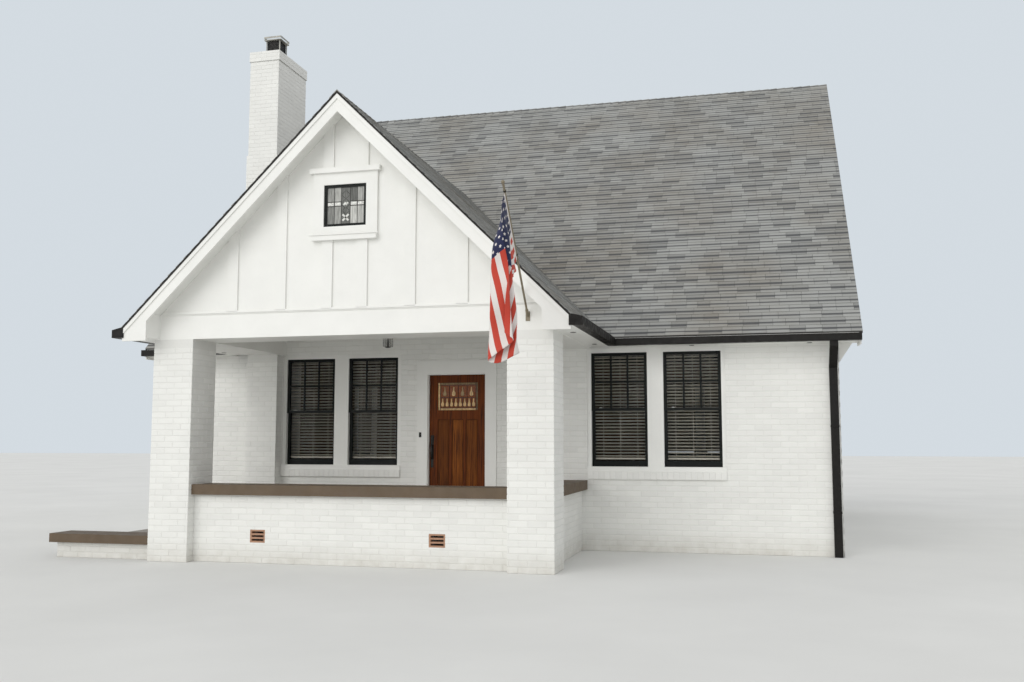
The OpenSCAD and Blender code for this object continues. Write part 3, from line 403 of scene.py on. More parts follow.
def flag_cloth():
    """Thirteen stripes and a field of stars, from the flag's own UV map."""
    shades = colours()
    red, white, blue = (linear(shade) for shade in (shades.flag_red, shades.flag_white, shades.flag_blue))
    made = Finish("flag_cloth", rough=0.78, coords="UV")
    calc, both = made.calc, made.both
    place = made.split()
    across, along = place["X"], place["Y"]
    stripe = calc(both(across, 13.0), "MODULO", 2.0)
    base = made.mix(calc(stripe, "GREATER_THAN", 1.0), red, white)
    in_field = both(calc(across, "LESS_THAN", 7 / 13), calc(along, "LESS_THAN", 0.4))
    stars = []
    for shift in (0.0, 0.5):
        row = calc(calc(both(across, 13 / 7 * 5), "ADD", shift), "MODULO", 1.0)
        column = calc(calc(both(along, 2.5 * 6), "ADD", shift), "MODULO", 1.0)
        up = both(calc(row, "SUBTRACT", 0.5), 0.098)
        side = both(calc(column, "SUBTRACT", 0.5), 0.101)
        reach = calc(both(up, up), "ADD", both(side, side))
        points = both(calc(both(calc(up, "ARCTAN2", side), 5.0), "COSINE"), 0.0038)
        limit = calc(points, "ADD", 0.0128)
        stars.append(calc(reach, "LESS_THAN", both(limit, limit)))
    base = made.mix(in_field, base, made.mix(calc(stars[0], "MAXIMUM", stars[1]), blue, white))
    heading = calc(along, "LESS_THAN", 0.022)
    base = made.mix(heading, base, white)
    threads = made.noise(900, detail=2, where=made.mapped(0.9, 1.5, 1))
    made.colour(made.cover(base, threads, 0.3, 0.7, 0.16, linear(THREAD_GAP)))
    made.bump(threads, 0.35, 0.0005)
    made.shader.inputs["Sheen Weight"].default_value = 0.15
    return made.material


def lamp_glass():
    made = Finish("lantern_glass", rough=0.12)
    film = made.noise(30, detail=3)
    made.colour(made.ramp(film, (0.3, LAMP_FILM[0]), (0.7, LAMP_FILM[1])))
    made.alpha(film, 0.20, 0.34)
    return made.material


def board_floor():
    oak = colours().boards
    made = Finish("floor_boards", rough=0.5)
    grain = made.noise(1.4, detail=7, rough=0.6, where=made.mapped(2, 28, 28))
    gaps = made.node("ShaderNodeTexBrick", {"Scale": 1.0, "Brick Width": 1.6, "Row Height": 0.09,
                                            "Mortar Size": 0.002, "Vector": made.place}, "Fac")
    made.colour(made.mix(gaps, made.fade(grain, oak, 0.6, 1.1, 0.35, 0.65), linear(oak, 0.2)))
    made.bump(gaps, -0.4, 0.001)
    return made.material


def make_finishes():
    shades = colours()
    ridge = corners("main_roof_front")[1]
    return {
        "brick": painted_brick("painted_brick", shades.brick, 0.24),
        "mortar": painted_brick("painted_mortar", shades.mortar, 0.0, shades.shaded_plaster),
        "outdoor_mortar": painted_brick("outdoor_mortar", shades.mortar, 0.0),
        "trim": painted_wood("trim_paint", shades.trim),
        "coping": worn_stone("coping_paint", shades.coping, spread=0.82, rough=0.7),
        "concrete": worn_stone("porch_concrete", shades.concrete),
        "clay": worn_stone("fired_clay", shades.clay, grain=140, spread=0.75),
        "shingles": shingle_tabs(),
        "porch_felt": roof_slab("porch_felt", "porch_roof", "X", 0.0, "Y", (corners("gable_wall")[0].y, 100.0)),
        "main_felt": roof_slab("main_felt", "main_roof_front", "Y", ridge.y, "X",
                               (corners("left_wall")[0].x, corners("right_wall")[1].x)),
        "gutter_metal": dark_metal("gutter_bronze", shades.gutter, metal=0.1, dust_share=0.14, gloss=0.25),
        "sash": painted_wood("sash_paint", shades.sash, rough=0.4, gloss=0.15),
        "glass": window_pane("window_pane", shades.glass, 0.12),
        "blind": painted_wood("blind_slats", shades.blind, rough=0.5, shaded=shades.back_blind_shade),
        "door_wood": varnished_wood("door_varnish", shades.door, shades.door_dark),
        "ironwork": dark_metal("black_iron", shades.iron, rough=0.38, metal=0.6),
        "cap_metal": dark_metal("weathered_zinc", shades.steel, rough=0.5, metal=0.3),
        "pole_paint": dark_metal("pole_paint", shades.pole, rough=0.45, metal=0.2),
        "lead": dark_metal("lead_strip", LEAD, rough=0.5, metal=0.3),
        "flag_cloth": flag_cloth(),
        "lamp_glass": lamp_glass(),
        "gable_glass": opal_glass("obscure_gable_glass", OBSCURE, 0.92, (60, 60, 9)),
        "streaky_glass": opal_glass("streaky_glass", STREAKY, 1.0, (62, 62, 7), toned=True),
        "panel_wood": varnished_wood("panel_varnish", shades.panel, shades.door_dark, toned=True),
        "bevel_glass": opal_glass("bevelled_clear_glass", CLEAR, 1.0, (40, 40, 40), 0.1),
        "amber_glass": opal_glass("amber_door_glass", AMBER, 0.95, (50, 50, 50), 0.12),
        "cream_glass": opal_glass("cream_door_glass", CREAM, 1.0, (45, 45, 20), toned=True),
        "floor": board_floor(),
    }


FINISHES = {}


def finish(name):
    if not FINISHES:
        FINISHES.update(make_finishes())
    return FINISHES[name]


# Making pieces

def mode(name):
    bpy.ops.object.mode_set(mode=name)


def deselect():
    if bpy.context.object and bpy.context.object.mode != "OBJECT":
        mode("OBJECT")
    bpy.ops.object.select_all(action="DESELECT")


def pick(piece):
    deselect()
    piece.select_set(True)
    bpy.context.view_layer.objects.active = piece
    return piece


def settle(piece):
    """Applies a piece's place, turn and scale, so that its object is at the origin."""
    pick(piece)
    bpy.ops.object.transform_apply(location=True, rotation=True, scale=True)
    return piece


def edit(piece, select=None):
    """Opens a piece in face edit mode with the faces that select() names."""
    pick(piece)
    mode("EDIT")
    bpy.ops.mesh.select_mode(type="FACE")
    bpy.ops.mesh.select_all(action="SELECT" if select is None else "DESELECT")
    if select:
        mode("OBJECT")
        for face in piece.data.polygons:
            face.select = bool(select(face))
        mode("EDIT")


def outward(piece):
    """Turns all faces of a closed piece outwards."""
    edit(piece)
    bpy.ops.mesh.normals_make_consistent(inside=False)
    mode("OBJECT")
    return piece


def inset(piece, out, thickness, depth, each=False):
    """Insets and raises or sinks the faces that look along out."""
    edit(piece, lambda face: face.normal.dot(out) > 0.9)
    bpy.ops.mesh.inset(use_individual=each, thickness=thickness, depth=depth)
    mode("OBJECT")
    return piece


def modify(piece, kind, **settings):
    pick(piece)
    modifier = piece.modifiers.new(kind.lower(), kind)
    for name, value in settings.items():
        setattr(modifier, name, value)
    bpy.ops.object.modifier_apply(modifier=modifier.name)
    return piece


def block(name, low, high, edge=0.0, turn=None, rounds=1):
    """A block with bevelled edges. turn is a rotation about its middle."""
    low, high = Vector(low), Vector(high)
    deselect()
    bpy.ops.mesh.primitive_cube_add(size=1, location=(low + high) / 2, scale=high - low)
    piece = bpy.context.object
    piece.name = name
    if turn is not None:
        piece.rotation_euler = turn
    settle(piece)
    if edge:
        modify(piece, "BEVEL", width=edge, segments=rounds, limit_method="ANGLE", harden_normals=False)
    return piece


def bar(name, along, span, place, half, z, edge=0.0):
    """A block that spans part of the ground axis along, with its middle at place on the other one."""
    low, high = Vector((0, 0, z[0])), Vector((0, 0, z[1]))
    low[along], high[along] = span
    low[1 - along], high[1 - along] = place - half, place + half
    return block(name, low, high, edge)


def rod(name, start, end, radius, sides=16, edge=0.0):
    """A round bar from one point to another, with a softened rim."""
    start, end = Vector(start), Vector(end)
    along = end - start
    deselect()
    bpy.ops.mesh.primitive_cylinder_add(vertices=sides, radius=radius, depth=along.length,
                                        location=(start + end) / 2, rotation=UP.rotation_difference(along).to_euler())
    piece = bpy.context.object
    piece.name = name
    settle(piece)
    if edge:
        modify(piece, "BEVEL", width=edge, segments=2, limit_method="ANGLE", angle_limit=math.radians(60))
    bpy.ops.object.shade_smooth_by_angle(angle=math.radians(40))
    return piece


def turned(name, centre, rings, sides=32, axis=UP):
    """A closed turned piece: rings are (radius, height) pairs from its foot to its top."""
    deselect()
    radius, height = rings[0]
    bpy.ops.mesh.primitive_circle_add(vertices=sides, radius=radius, fill_type="NGON", location=(0, 0, height))
    piece = bpy.context.object
    piece.name = name
    settle(piece)
    edit(piece)
    bpy.ops.mesh.flip_normals()
    for next_radius, next_height in rings[1:]:
        bpy.ops.mesh.extrude_region_move(TRANSFORM_OT_translate={"value": (0, 0, next_height - height)})
        factor = next_radius / radius
        bpy.ops.transform.resize(value=(factor, factor, 1), center_override=(0, 0, next_height))
        radius, height = next_radius, next_height
    mode("OBJECT")
    if sum(len(face.vertices) > 4 for face in piece.data.polygons) < 2:
        mode("EDIT")
        bpy.ops.mesh.select_all(action="DESELECT")
        bpy.ops.mesh.select_mode(type="EDGE")
        bpy.ops.mesh.select_non_manifold()
        bpy.ops.mesh.edge_face_add()
        mode("OBJECT")
    outward(piece)
    piece.rotation_euler = UP.rotation_difference(Vector(axis)).to_euler()
    piece.location = centre
    settle(piece)
    bpy.ops.object.shade_smooth_by_angle(angle=math.radians(35))
    return piece


def joined(name, pieces):
    deselect()
    for piece in pieces:
        piece.select_set(True)
    bpy.context.view_layer.objects.active = pieces[0]
    if len(pieces) > 1:
        bpy.ops.object.join()
    result = bpy.context.view_layer.objects.active
    result.name = name
    result.data.name = name
    return result


def dress(piece, slot, material=None, body="house"):
    piece.data.materials.clear()
    piece.data.materials.append(finish(material or slot))
    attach(piece, body)
    return piece


def toned(piece, value):
    """Gives every face of a piece one tone, which its finish reads."""
    tone = piece.data.attributes.new("tone", "FLOAT", "FACE")
    for item in tone.data:
        item.value = value
    return piece


def islands(node):
    """The box of each separate solid of a node."""
    mesh = frame["nodes"][node].data
    owner = {}

    def root(item):
        while owner[item] != item:
            owner[item] = owner[owner[item]]
            item = owner[item]
        return item

    keys = [tuple(round(c, 5) for c in vertex.co) for vertex in mesh.vertices]
    points = dict(zip(keys, (vertex.co for vertex in mesh.vertices)))
    for key in points:
        owner[key] = key
    for face in mesh.polygons:
        first = root(keys[face.vertices[0]])
        for index in face.vertices[1:]:
            owner[root(keys[index])] = first
    groups = {}
    for key in points:
        groups.setdefault(root(key), []).append(points[key])
    boxes = []
    for group in groups.values():
        low = Vector([min(p[i] for p in group) for i in range(3)])
        high = Vector([max(p[i] for p in group) for i in range(3)])
        boxes.append((low, high))
    return sorted(boxes, key=lambda box: tuple(round(c, 3) for c in (*box[0], *box[1])))


def plates(name, columns, rows, cell):
    """Separate flat plates in a grid. cell(column, row) gives the plate's four corners and its tone."""
    deselect()
    bpy.ops.mesh.primitive_grid_add(x_subdivisions=columns, y_subdivisions=rows, size=1)
    piece = bpy.context.object
    piece.name = name
    edit(piece)
    bpy.ops.mesh.edge_split(type="EDGE")
    mode("OBJECT")
    mesh = piece.data
    tone = mesh.attributes.new("tone", "FLOAT", "FACE")
    for face in mesh.polygons:
        middle = face.center.copy()
        column = min(columns - 1, int((middle.x + 0.5) * columns))
        row = min(rows - 1, int((middle.y + 0.5) * rows))
        near_left, near_right, far_right, far_left, shade = cell(column, row)
        tone.data[face.index].value = shade
        for index in face.vertices:
            vertex = mesh.vertices[index]
            left, near = vertex.co.x < middle.x, vertex.co.y < middle.y
            vertex.co = (near_left if near else far_left) if left else (near_right if near else far_right)
    return piece


def placed(piece, across, up, origin):
    """Turns a piece drawn flat in X and Y so that X runs across and Y runs up a face."""
    out = across.cross(up)
    piece.matrix_world = Matrix.Translation(origin) @ Matrix((across, up, out)).transposed().to_4x4()
    settle(piece)
    return out


def clipped(name, field, nodes, shift):
    """What of a field lies on the nodes: each node's shape is moved out by shift and cut with the field."""
    kept = []
    for node in nodes:
        source = frame["nodes"][node]
        shape = source.copy()
        shape.data = source.data.copy()
        shape.parent = None
        bpy.context.collection.objects.link(shape)
        shape.matrix_world = Matrix.Translation(shift)
        edit(shape)
        bpy.ops.mesh.remove_doubles(threshold=0.00001)
        mode("OBJECT")
        piece = field.copy()
        piece.data = field.data.copy()
        bpy.context.collection.objects.link(piece)
        modify(piece, "BOOLEAN", operation="INTERSECT", object=shape, solver="MANIFOLD")
        low, high = corners(node)
        for vertex in piece.data.vertices:
            if any(not low[i] - 0.03 < vertex.co[i] < high[i] + 0.03 for i in range(3)):
                raise RuntimeError(name + " wasn't clipped to " + node)
        bpy.data.objects.remove(shape)
        if len(piece.data.polygons):
            kept.append(piece)
        else:
            bpy.data.objects.remove(piece)
    bpy.data.objects.remove(field)
    if not kept:
        raise RuntimeError(name + ": nothing of the field lies on " + ", ".join(nodes))
    return joined(name, kept)


# Each side of the house: the way across it to the right, and the way out of it.
SIDES = {
    "front": (Vector((1, 0, 0)), Vector((0, -1, 0))),
    "rear": (Vector((-1, 0, 0)), Vector((0, 1, 0))),
    "right": (Vector((0, 1, 0)), Vector((1, 0, 0))),
    "left": (Vector((0, -1, 0)), Vector((-1, 0, 0))),
}
FRONT = SIDES["front"][1]


def face_of(side, low, high):
    """The place of a box's face on one side, and the face's span along the ground."""
    plane = {"front": low.y, "rear": high.y, "right": high.x, "left": low.x}[side]
    return plane, ((low.x, high.x) if side in ("front", "rear") else (low.y, high.y))


def plate_corners(left, right, low, high, near=0.0, far=None):
    """The corners of an upright plate, near and far being how far its lower and upper edges stand out."""
    far = near if far is None else far
    return Vector((left, low, near)), Vector((right, low, near)), Vector((right, high, far)), Vector((left, high, far))


def brick_field(name, side, low, high, foot, top, seed):
    """Running bond on one side of a box."""
    size = sizes()
    across, out = SIDES[side]
    plane, span = face_of(side, low, high)
    dice = random.Random(seed)
    begin, end = sorted(place * (across.x + across.y) for place in span)
    first = math.floor(begin / size.brick_pitch) - 1
    columns = math.ceil(end / size.brick_pitch) - first + 1
    low_row = math.floor(foot / size.course)
    rows = math.ceil((top - 2 * size.joint) / size.course) - low_row
    raised = 0.0025

    def cell(column, row):
        level = low_row + row
        left = (first + column + (0.5 if level % 2 else 0.0)) * size.brick_pitch + dice.uniform(-0.002, 0.002)
        right = left + size.brick_pitch - size.joint * 0.6
        bed = max(foot, level * size.course + dice.uniform(-0.001, 0.001))
        upper = min(top, (level + 1) * size.course - size.joint)
        return (*plate_corners(left, right, bed, upper, dice.uniform(-0.0008, 0.0008)), dice.random())

    field = plates(name, columns, rows, cell)
    modify(field, "SOLIDIFY", thickness=size.brick_depth, offset=-1)
    placed(field, across, UP, out * (plane * (out.x + out.y) + size.brick_proud - raised))
    return inset(field, out, size.chamfer, raised, each=True)


def slope_tabs(name, node, across, run, origin, width, depth, seed):
    """Shingle tabs on one slope. origin is its lower corner, run the level way inwards, depth its level reach."""
    size = sizes()
    dice = random.Random(seed)
    rows = math.ceil(depth / math.cos(PITCH) / size.exposure) + 1
    mean = (size.tab_least + size.tab_most) / 2
    columns = math.ceil(width / mean) + 6
    edges = []
    for row in range(rows):
        line = [-dice.uniform(0, mean)]
        for _ in range(columns):
            line.append(line[-1] + dice.uniform(size.tab_least, size.tab_most))
        stretch = max(1.0, (width + mean) / (line[-1] - line[0]))
        edges.append([line[0] + (edge - line[0]) * stretch for edge in line])
    lift = [[dice.uniform(0.75, 1.25) for _ in range(columns)] for _ in range(rows)]
    gap = 0.0015

    def cell(column, row):
        low = row * size.exposure - 0.002 + dice.uniform(-0.0025, 0.0025)
        return (*plate_corners(edges[row][column] + gap, edges[row][column + 1] - gap, low,
                               (row + 1) * size.exposure + 0.004, size.tab_rise * lift[row][column], 0.0015),
                dice.random())

    field = plates(name, columns, rows, cell)
    modify(field, "SOLIDIFY", thickness=0.010, offset=-1)
    out = placed(field, across, run * math.cos(PITCH) + UP * math.sin(PITCH), origin)
    return clipped(name, field, [node], out * 0.016)


def ridge_caps(name, start, end, left_run, right_run, seed):
    """Bent caps on a ridge. left_run and right_run are the level ways down the two slopes."""
    size = sizes()
    dice = random.Random(seed)
    span = (end - start).length
    along = (end - start).normalized()
    rows = math.ceil(span / size.exposure)
    pitch = span / rows
    lift = [dice.uniform(0.8, 1.2) for _ in range(rows)]
    shade = [dice.random() for _ in range(rows)]

    def cell(column, row):
        run = left_run if column == 0 else right_run
        down = (run * math.cos(PITCH) - UP * math.sin(PITCH)) * 0.135
        near = start + along * (row * pitch) + UP * (0.020 + 0.004 * lift[row])
        far = start + along * min(span, (row + 1) * pitch + 0.004) + UP * 0.014
        if column == 0:
            return near + down, near, far, far + down, shade[row]
        return near, near + down, far + down, far, shade[row]

    piece = plates(name, 2, rows, cell)
    modify(piece, "SOLIDIFY", thickness=0.009, offset=-1)
    return outward(piece)


def bricks(name, side, box, foot, top, seed, nodes=None, shift=0.02):
    """The bricks on one side of a box, cut to the shape of the nodes, or of the node that name says."""
    field = brick_field(name, side, *box, foot, top, seed)
    return clipped(name, field, nodes or [name], SIDES[side][1] * shift)


class BUNGALOW_OT_house_bricks(bpy.types.Operator):
    """Lay the brick facing of the house walls"""

    bl_idname = "bungalow.house_bricks"
    bl_label = "House bricks"

    def execute(self, context):
        left, right = corners("left_wall"), corners("right_wall")
        box = left[0], Vector((right[1].x, left[1].y, 0))
        eave = corners("front_wall_left")[1].z
        front = ["left_wall", "front_wall_left", "doorway_walls", "front_wall_right", "right_wall"]
        for side, top, seed, nodes in (("front", eave, 11, front),
                                       ("rear", eave, 12, ["left_wall", "rear_wall", "right_wall"]),
                                       ("right", right[1].z, 13, ["right_wall"]),
                                       ("left", left[1].z, 14, ["left_wall"])):
            dress(bricks(side + "_bricks", side, box, 0, top, seed, nodes), "brick")
        return {"FINISHED"}


class BUNGALOW_OT_porch_bricks(bpy.types.Operator):
    """Lay the bricks of the piers, the half pier and the low walls"""

    bl_idname = "bungalow.porch_bricks"
    bl_label = "Porch bricks"

    def execute(self, context):
        cap = 0.11
        for name, node, seeds in (
                ("left_pier_bricks", "left_pier", {"front": 21, "rear": 31, "right": 41, "left": 51}),
                ("right_pier_bricks", "right_pier", {"front": 22, "rear": 32, "right": 42, "left": 52}),
                ("half_pier_bricks", "porch_pilaster", {"front": 61, "right": 62, "left": 63})):
            self.lay(name, cap, [(node, side, seed) for side, seed in seeds.items()])
        self.lay("low_wall_bricks", 0.0, (
            ("porch_front_wall", "front", 71), ("porch_front_wall", "rear", 75),
            ("cheek_wall", "front", 72), ("cheek_wall", "rear", 76), ("cheek_wall", "left", 79),
            ("porch_side_wall", "right", 81), ("porch_side_wall", "left", 82)))
        return {"FINISHED"}

    def lay(self, name, cap, rows):
        """Bricks on the sides that rows lists, up to cap below each node's top."""
        faces = [bricks(node, side, corners(node), 0, corners(node)[1].z - cap, seed) for node, side, seed in rows]
        dress(joined(name, faces), "brick")


class BUNGALOW_OT_chimney_bricks(bpy.types.Operator):
    """Lay the bricks of the chimney"""

    bl_idname = "bungalow.chimney_bricks"
    bl_label = "Chimney bricks"

    def execute(self, context):
        low, high = corners("chimney")
        levels = sorted({round(v.co.z, 4) for v in frame["nodes"]["chimney"].data.vertices})
        shoulder, band = levels[-3], levels[-2]
        faces = []
        seed = 90
        for foot, top, back in ((0, shoulder, 0.0), (shoulder, band, 0.020), (band, high.z, 0.005)):
            step = Vector((back, back, 0))
            for side in ("front", "rear", "right", "left"):
                if side == "right" and top <= shoulder:
                    continue
                seed += 1
                faces.append(bricks("chimney", side, (low + step, high - step), foot, top, seed, shift=0.009))
        dress(joined("chimney_bricks", faces), "brick")
        self.spark_screen()
        return {"FINISHED"}

    def spark_screen(self):
        """Wire screens between the cap's legs, and a folded rim round its lid."""
        low, high = corners("chimney_cap")
        foot, top, back = low.z + 0.014, high.z - 0.085, 0.050
        made = []
        for along, place in ((0, low.y + back), (0, high.y - back), (1, low.x + back), (1, high.x - back)):
            begin, end = low[along] + back, high[along] - back
            for index in range(23):
                middle = begin + (end - begin) * index / 22
                made.append(bar("wire", along, (middle - 0.0035, middle + 0.0035), place, 0.002, (foot, top)))
            for index in range(13):
                z = foot + (top - foot) * index / 12
                made.append(bar("wire", along, (begin, end), place, 0.003, (z - 0.003, z + 0.003)))
        dress(joined("spark_screen", made), "ironwork")
        rim, drop = 0.0025, 0.036
        lid = [block("rim", (x0, y0, high.z - drop), (x1, y1, high.z - 0.001)) for x0, y0, x1, y1 in (
            (low.x - rim, low.y - rim, high.x + rim, low.y), (low.x - rim, high.y, high.x + rim, high.y + rim),
            (low.x - rim, low.y, low.x, high.y), (high.x, low.y, high.x + rim, high.y))]
        dress(joined("lid_rim", lid), "cap_metal")


class BUNGALOW_OT_sill_bricks(bpy.types.Operator):
    """Stand the bricks on edge in the sills under the windows"""

    bl_idname = "bungalow.sill_bricks"
    bl_label = "Sill bricks"

    def execute(self, context):
        made = []
        for low, high in islands("window_sills"):
            side = facing(low, high)
            across, out = SIDES[side]
            plane, span = face_of(side, low, high)
            start = min(place * (across.x + across.y) for place in span)
            count = round((span[1] - span[0]) / 0.0765)
            pitch = (span[1] - span[0]) / count

            def cell(column, row):
                left = start + column * pitch + 0.004
                shade = ((column * 37) % 11) / 11
                return (*plate_corners(left, left + pitch - 0.008, low.z + 0.004, high.z - 0.003), shade)

            piece = plates("sill_bricks", count, 1, cell)
            modify(piece, "SOLIDIFY", thickness=0.006, offset=-1)
            placed(piece, across, UP, out * (plane * (out.x + out.y) + 0.0015))
            made.append(inset(piece, out, 0.004, 0.0025, each=True))
        dress(joined("sill_bricks", made), "brick")
        return {"FINISHED"}


def facing(low, high):
    """The side of the house that a window piece belongs to."""
    middle = (low + high) / 2
    front, rear = (corner.y for corner in corners("left_wall"))
    if abs(middle.y - front) < 0.4:
        return "front"
    if abs(middle.y - rear) < 0.4:
        return "rear"
    return "right" if middle.x > 0 else "left"


class BUNGALOW_OT_shingles(bpy.types.Operator):
    """Cover the roofs with shingle tabs and ridge caps"""

    bl_idname = "bungalow.shingles"
    bl_label = "Shingles"

    def execute(self, context):
        low, high = corners("main_roof_front")
        rear = corners("main_roof_rear")[1]
        porch_low, porch_high = corners("porch_roof")
        x_way, y_way = Vector((1, 0, 0)), Vector((0, 1, 0))
        width, depth = high.x - low.x, high.y - low.y
        porch_length = porch_high.y - porch_low.y
        eave = high.z - depth * math.tan(PITCH)
        tabs = [slope_tabs(name, node, across, run, Vector((x, y, eave)), wide, deep, seed)
                for name, node, across, run, x, y, wide, deep, seed in (
                    ("front_shingles", "main_roof_front", x_way, y_way, low.x, low.y, width, depth, 5),
                    ("rear_shingles", "main_roof_rear", -x_way, -y_way, rear.x, rear.y, width, depth, 6),
                    ("porch_left", "porch_roof", -y_way, x_way, porch_low.x, porch_high.y,
                     porch_length, porch_high.x, 7),
                    ("porch_right", "porch_roof", y_way, -x_way, porch_high.x, porch_low.y,
                     porch_length, porch_high.x, 8))]
        dress(tabs[0], "shingles")
        dress(tabs[1], "shingles")
        dress(joined("porch_shingles", tabs[2:]), "shingles")
        sunk, back = 0.006, 0.002
        caps = [
            ridge_caps("main_caps", Vector((high.x - back, high.y, high.z - sunk)),
                       Vector((low.x + back, high.y, high.z - sunk)), -y_way, y_way, 15),
            ridge_caps("porch_caps", Vector((0, porch_low.y + back, porch_high.z - sunk)),
                       Vector((0, porch_low.y + back + porch_length - 0.16, porch_high.z - sunk)), -x_way, x_way, 16),
        ]
        dress(joined("ridge_caps", caps), "shingles")
        return {"FINISHED"}


def window_panes():
    """Each pane's box with its side of the house, and whether it is an upper one."""
    boxes = islands("window_glass")
    heights = [low.z for low, high in boxes]
    level = (min(heights) + max(heights)) / 2
    return [(low, high, facing(low, high), low.z > level) for low, high in boxes]


def on_side(side, low, high, depth_in, depth_out):
    """A box on an outer face: from depth_in behind the pane's outer face to depth_out before it."""
    low, high = low.copy(), high.copy()
    along = 1 if side in ("front", "rear") else 0
    if side in ("front", "left"):
        low[along], high[along] = low[along] - depth_out, low[along] + depth_in
    else:
        low[along], high[along] = high[along] - depth_in, high[along] + depth_out
    return low, high


def bars_on(side, low, high, uprights, levels, width, depth_in, depth_out, edge=0.003):
    """Bars across a pane at the given shares of its width and height."""
    made = []
    box = on_side(side, low, high, depth_in, depth_out)
    for axis, shares in ((0 if side in ("front", "rear") else 1, uprights), (2, levels)):
        for share in shares:
            middle = box[0][axis] + (box[1][axis] - box[0][axis]) * share
            a, b = box[0].copy(), box[1].copy()
            a[axis], b[axis] = middle - width / 2, middle + width / 2
            made.append(block("bar", a, b, edge))
    return made


class BUNGALOW_OT_window_bars(bpy.types.Operator):
    """Set the bars and locks of the sashes"""

    bl_idname = "bungalow.window_bars"
    bl_label = "Window bars"

    def execute(self, context):
        made = []
        locks = []
        for low, high, side, upper in window_panes():
            if not upper:
                continue
            made += bars_on(side, low, high, (1 / 3, 2 / 3), (0.5,), sizes().bar_width, 0.008, 0.010)
            across, out = SIDES[side]
            middle = (low + high) / 2 - across * (max(high.x - low.x, high.y - low.y) * 0.38)
            foot = Vector((middle.x, middle.y, low.z)) - out * 0.012
            locks.append(turned("lock", foot, [(0.024, 0), (0.024, 0.006), (0.016, 0.010), (0.006, 0.012)], 20))
        dress(joined("window_bars", made), "sash")
        dress(joined("sash_locks", locks), "trim")
        return {"FINISHED"}


class BUNGALOW_OT_blinds(bpy.types.Operator):
    """Hang the slatted blinds behind the sashes"""

    bl_idname = "bungalow.blinds"
    bl_label = "Blinds"

    def execute(self, context):
        made = []
        for low, high in islands("window_blinds"):
            made += self.blind(low, high, facing(low, high))
        piece = dress(joined("slatted_blinds", made), "blind")
        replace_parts(piece, "window_blinds")
        return {"FINISHED"}

    def blind(self, low, high, side):
        """The slats, the head, the bottom rail and the ladder cords of one blind."""
        size = sizes()
        out = SIDES[side][1]
        along = 0 if side in ("front", "rear") else 1
        centre = (low + high) / 2 - out * 0.010
        half = (high[along] - low[along]) / 2 - 0.006
        span = centre[along] - half, centre[along] + half
        place = centre[1 - along]
        rail, head = 0.024, 0.042
        count = round((high.z - low.z - head - rail) / size.slat_pitch)
        pitch = (high.z - low.z - head - rail) / count
        z = high.z - head - pitch / 2
        slat = bar("slat", along, span, place, size.slat_width / 2, (z - 0.0014, z + 0.0014))
        front = side == "front"
        turn = (size.slat_tilt if front else size.closed_tilt) * (-1 if side in ("front", "left") else 1)
        middle = Vector((centre.x, centre.y, z))
        slat.matrix_world = (Matrix.Translation(middle) @ Matrix.Rotation(turn, 4, "XY"[along])
                             @ Matrix.Translation(-middle))
        settle(slat)
        modify(slat, "ARRAY", count=count, use_relative_offset=False, use_constant_offset=True,
               constant_offset_displace=(0, 0, -pitch))
        # Back and side slats get tone 1, which paints them in shade.
        made = [
            toned(slat, 0.0 if front else 1.0),
            bar("head", along, span, place, 0.022, (high.z - head, high.z), 0.003),
            bar("rail", along, span, place, 0.022, (low.z, low.z + rail), 0.004),
        ]
        cord = 0.0012
        for share in (-0.62, 0.0, 0.62):
            for offset in (-0.019, 0.019):
                spot = centre + out * offset
                spot[along] += share * half
                made.append(block("cord", (spot.x - cord, spot.y - cord, low.z + 0.01),
                                  (spot.x + cord, spot.y + cord, high.z - 0.03)))
        return made


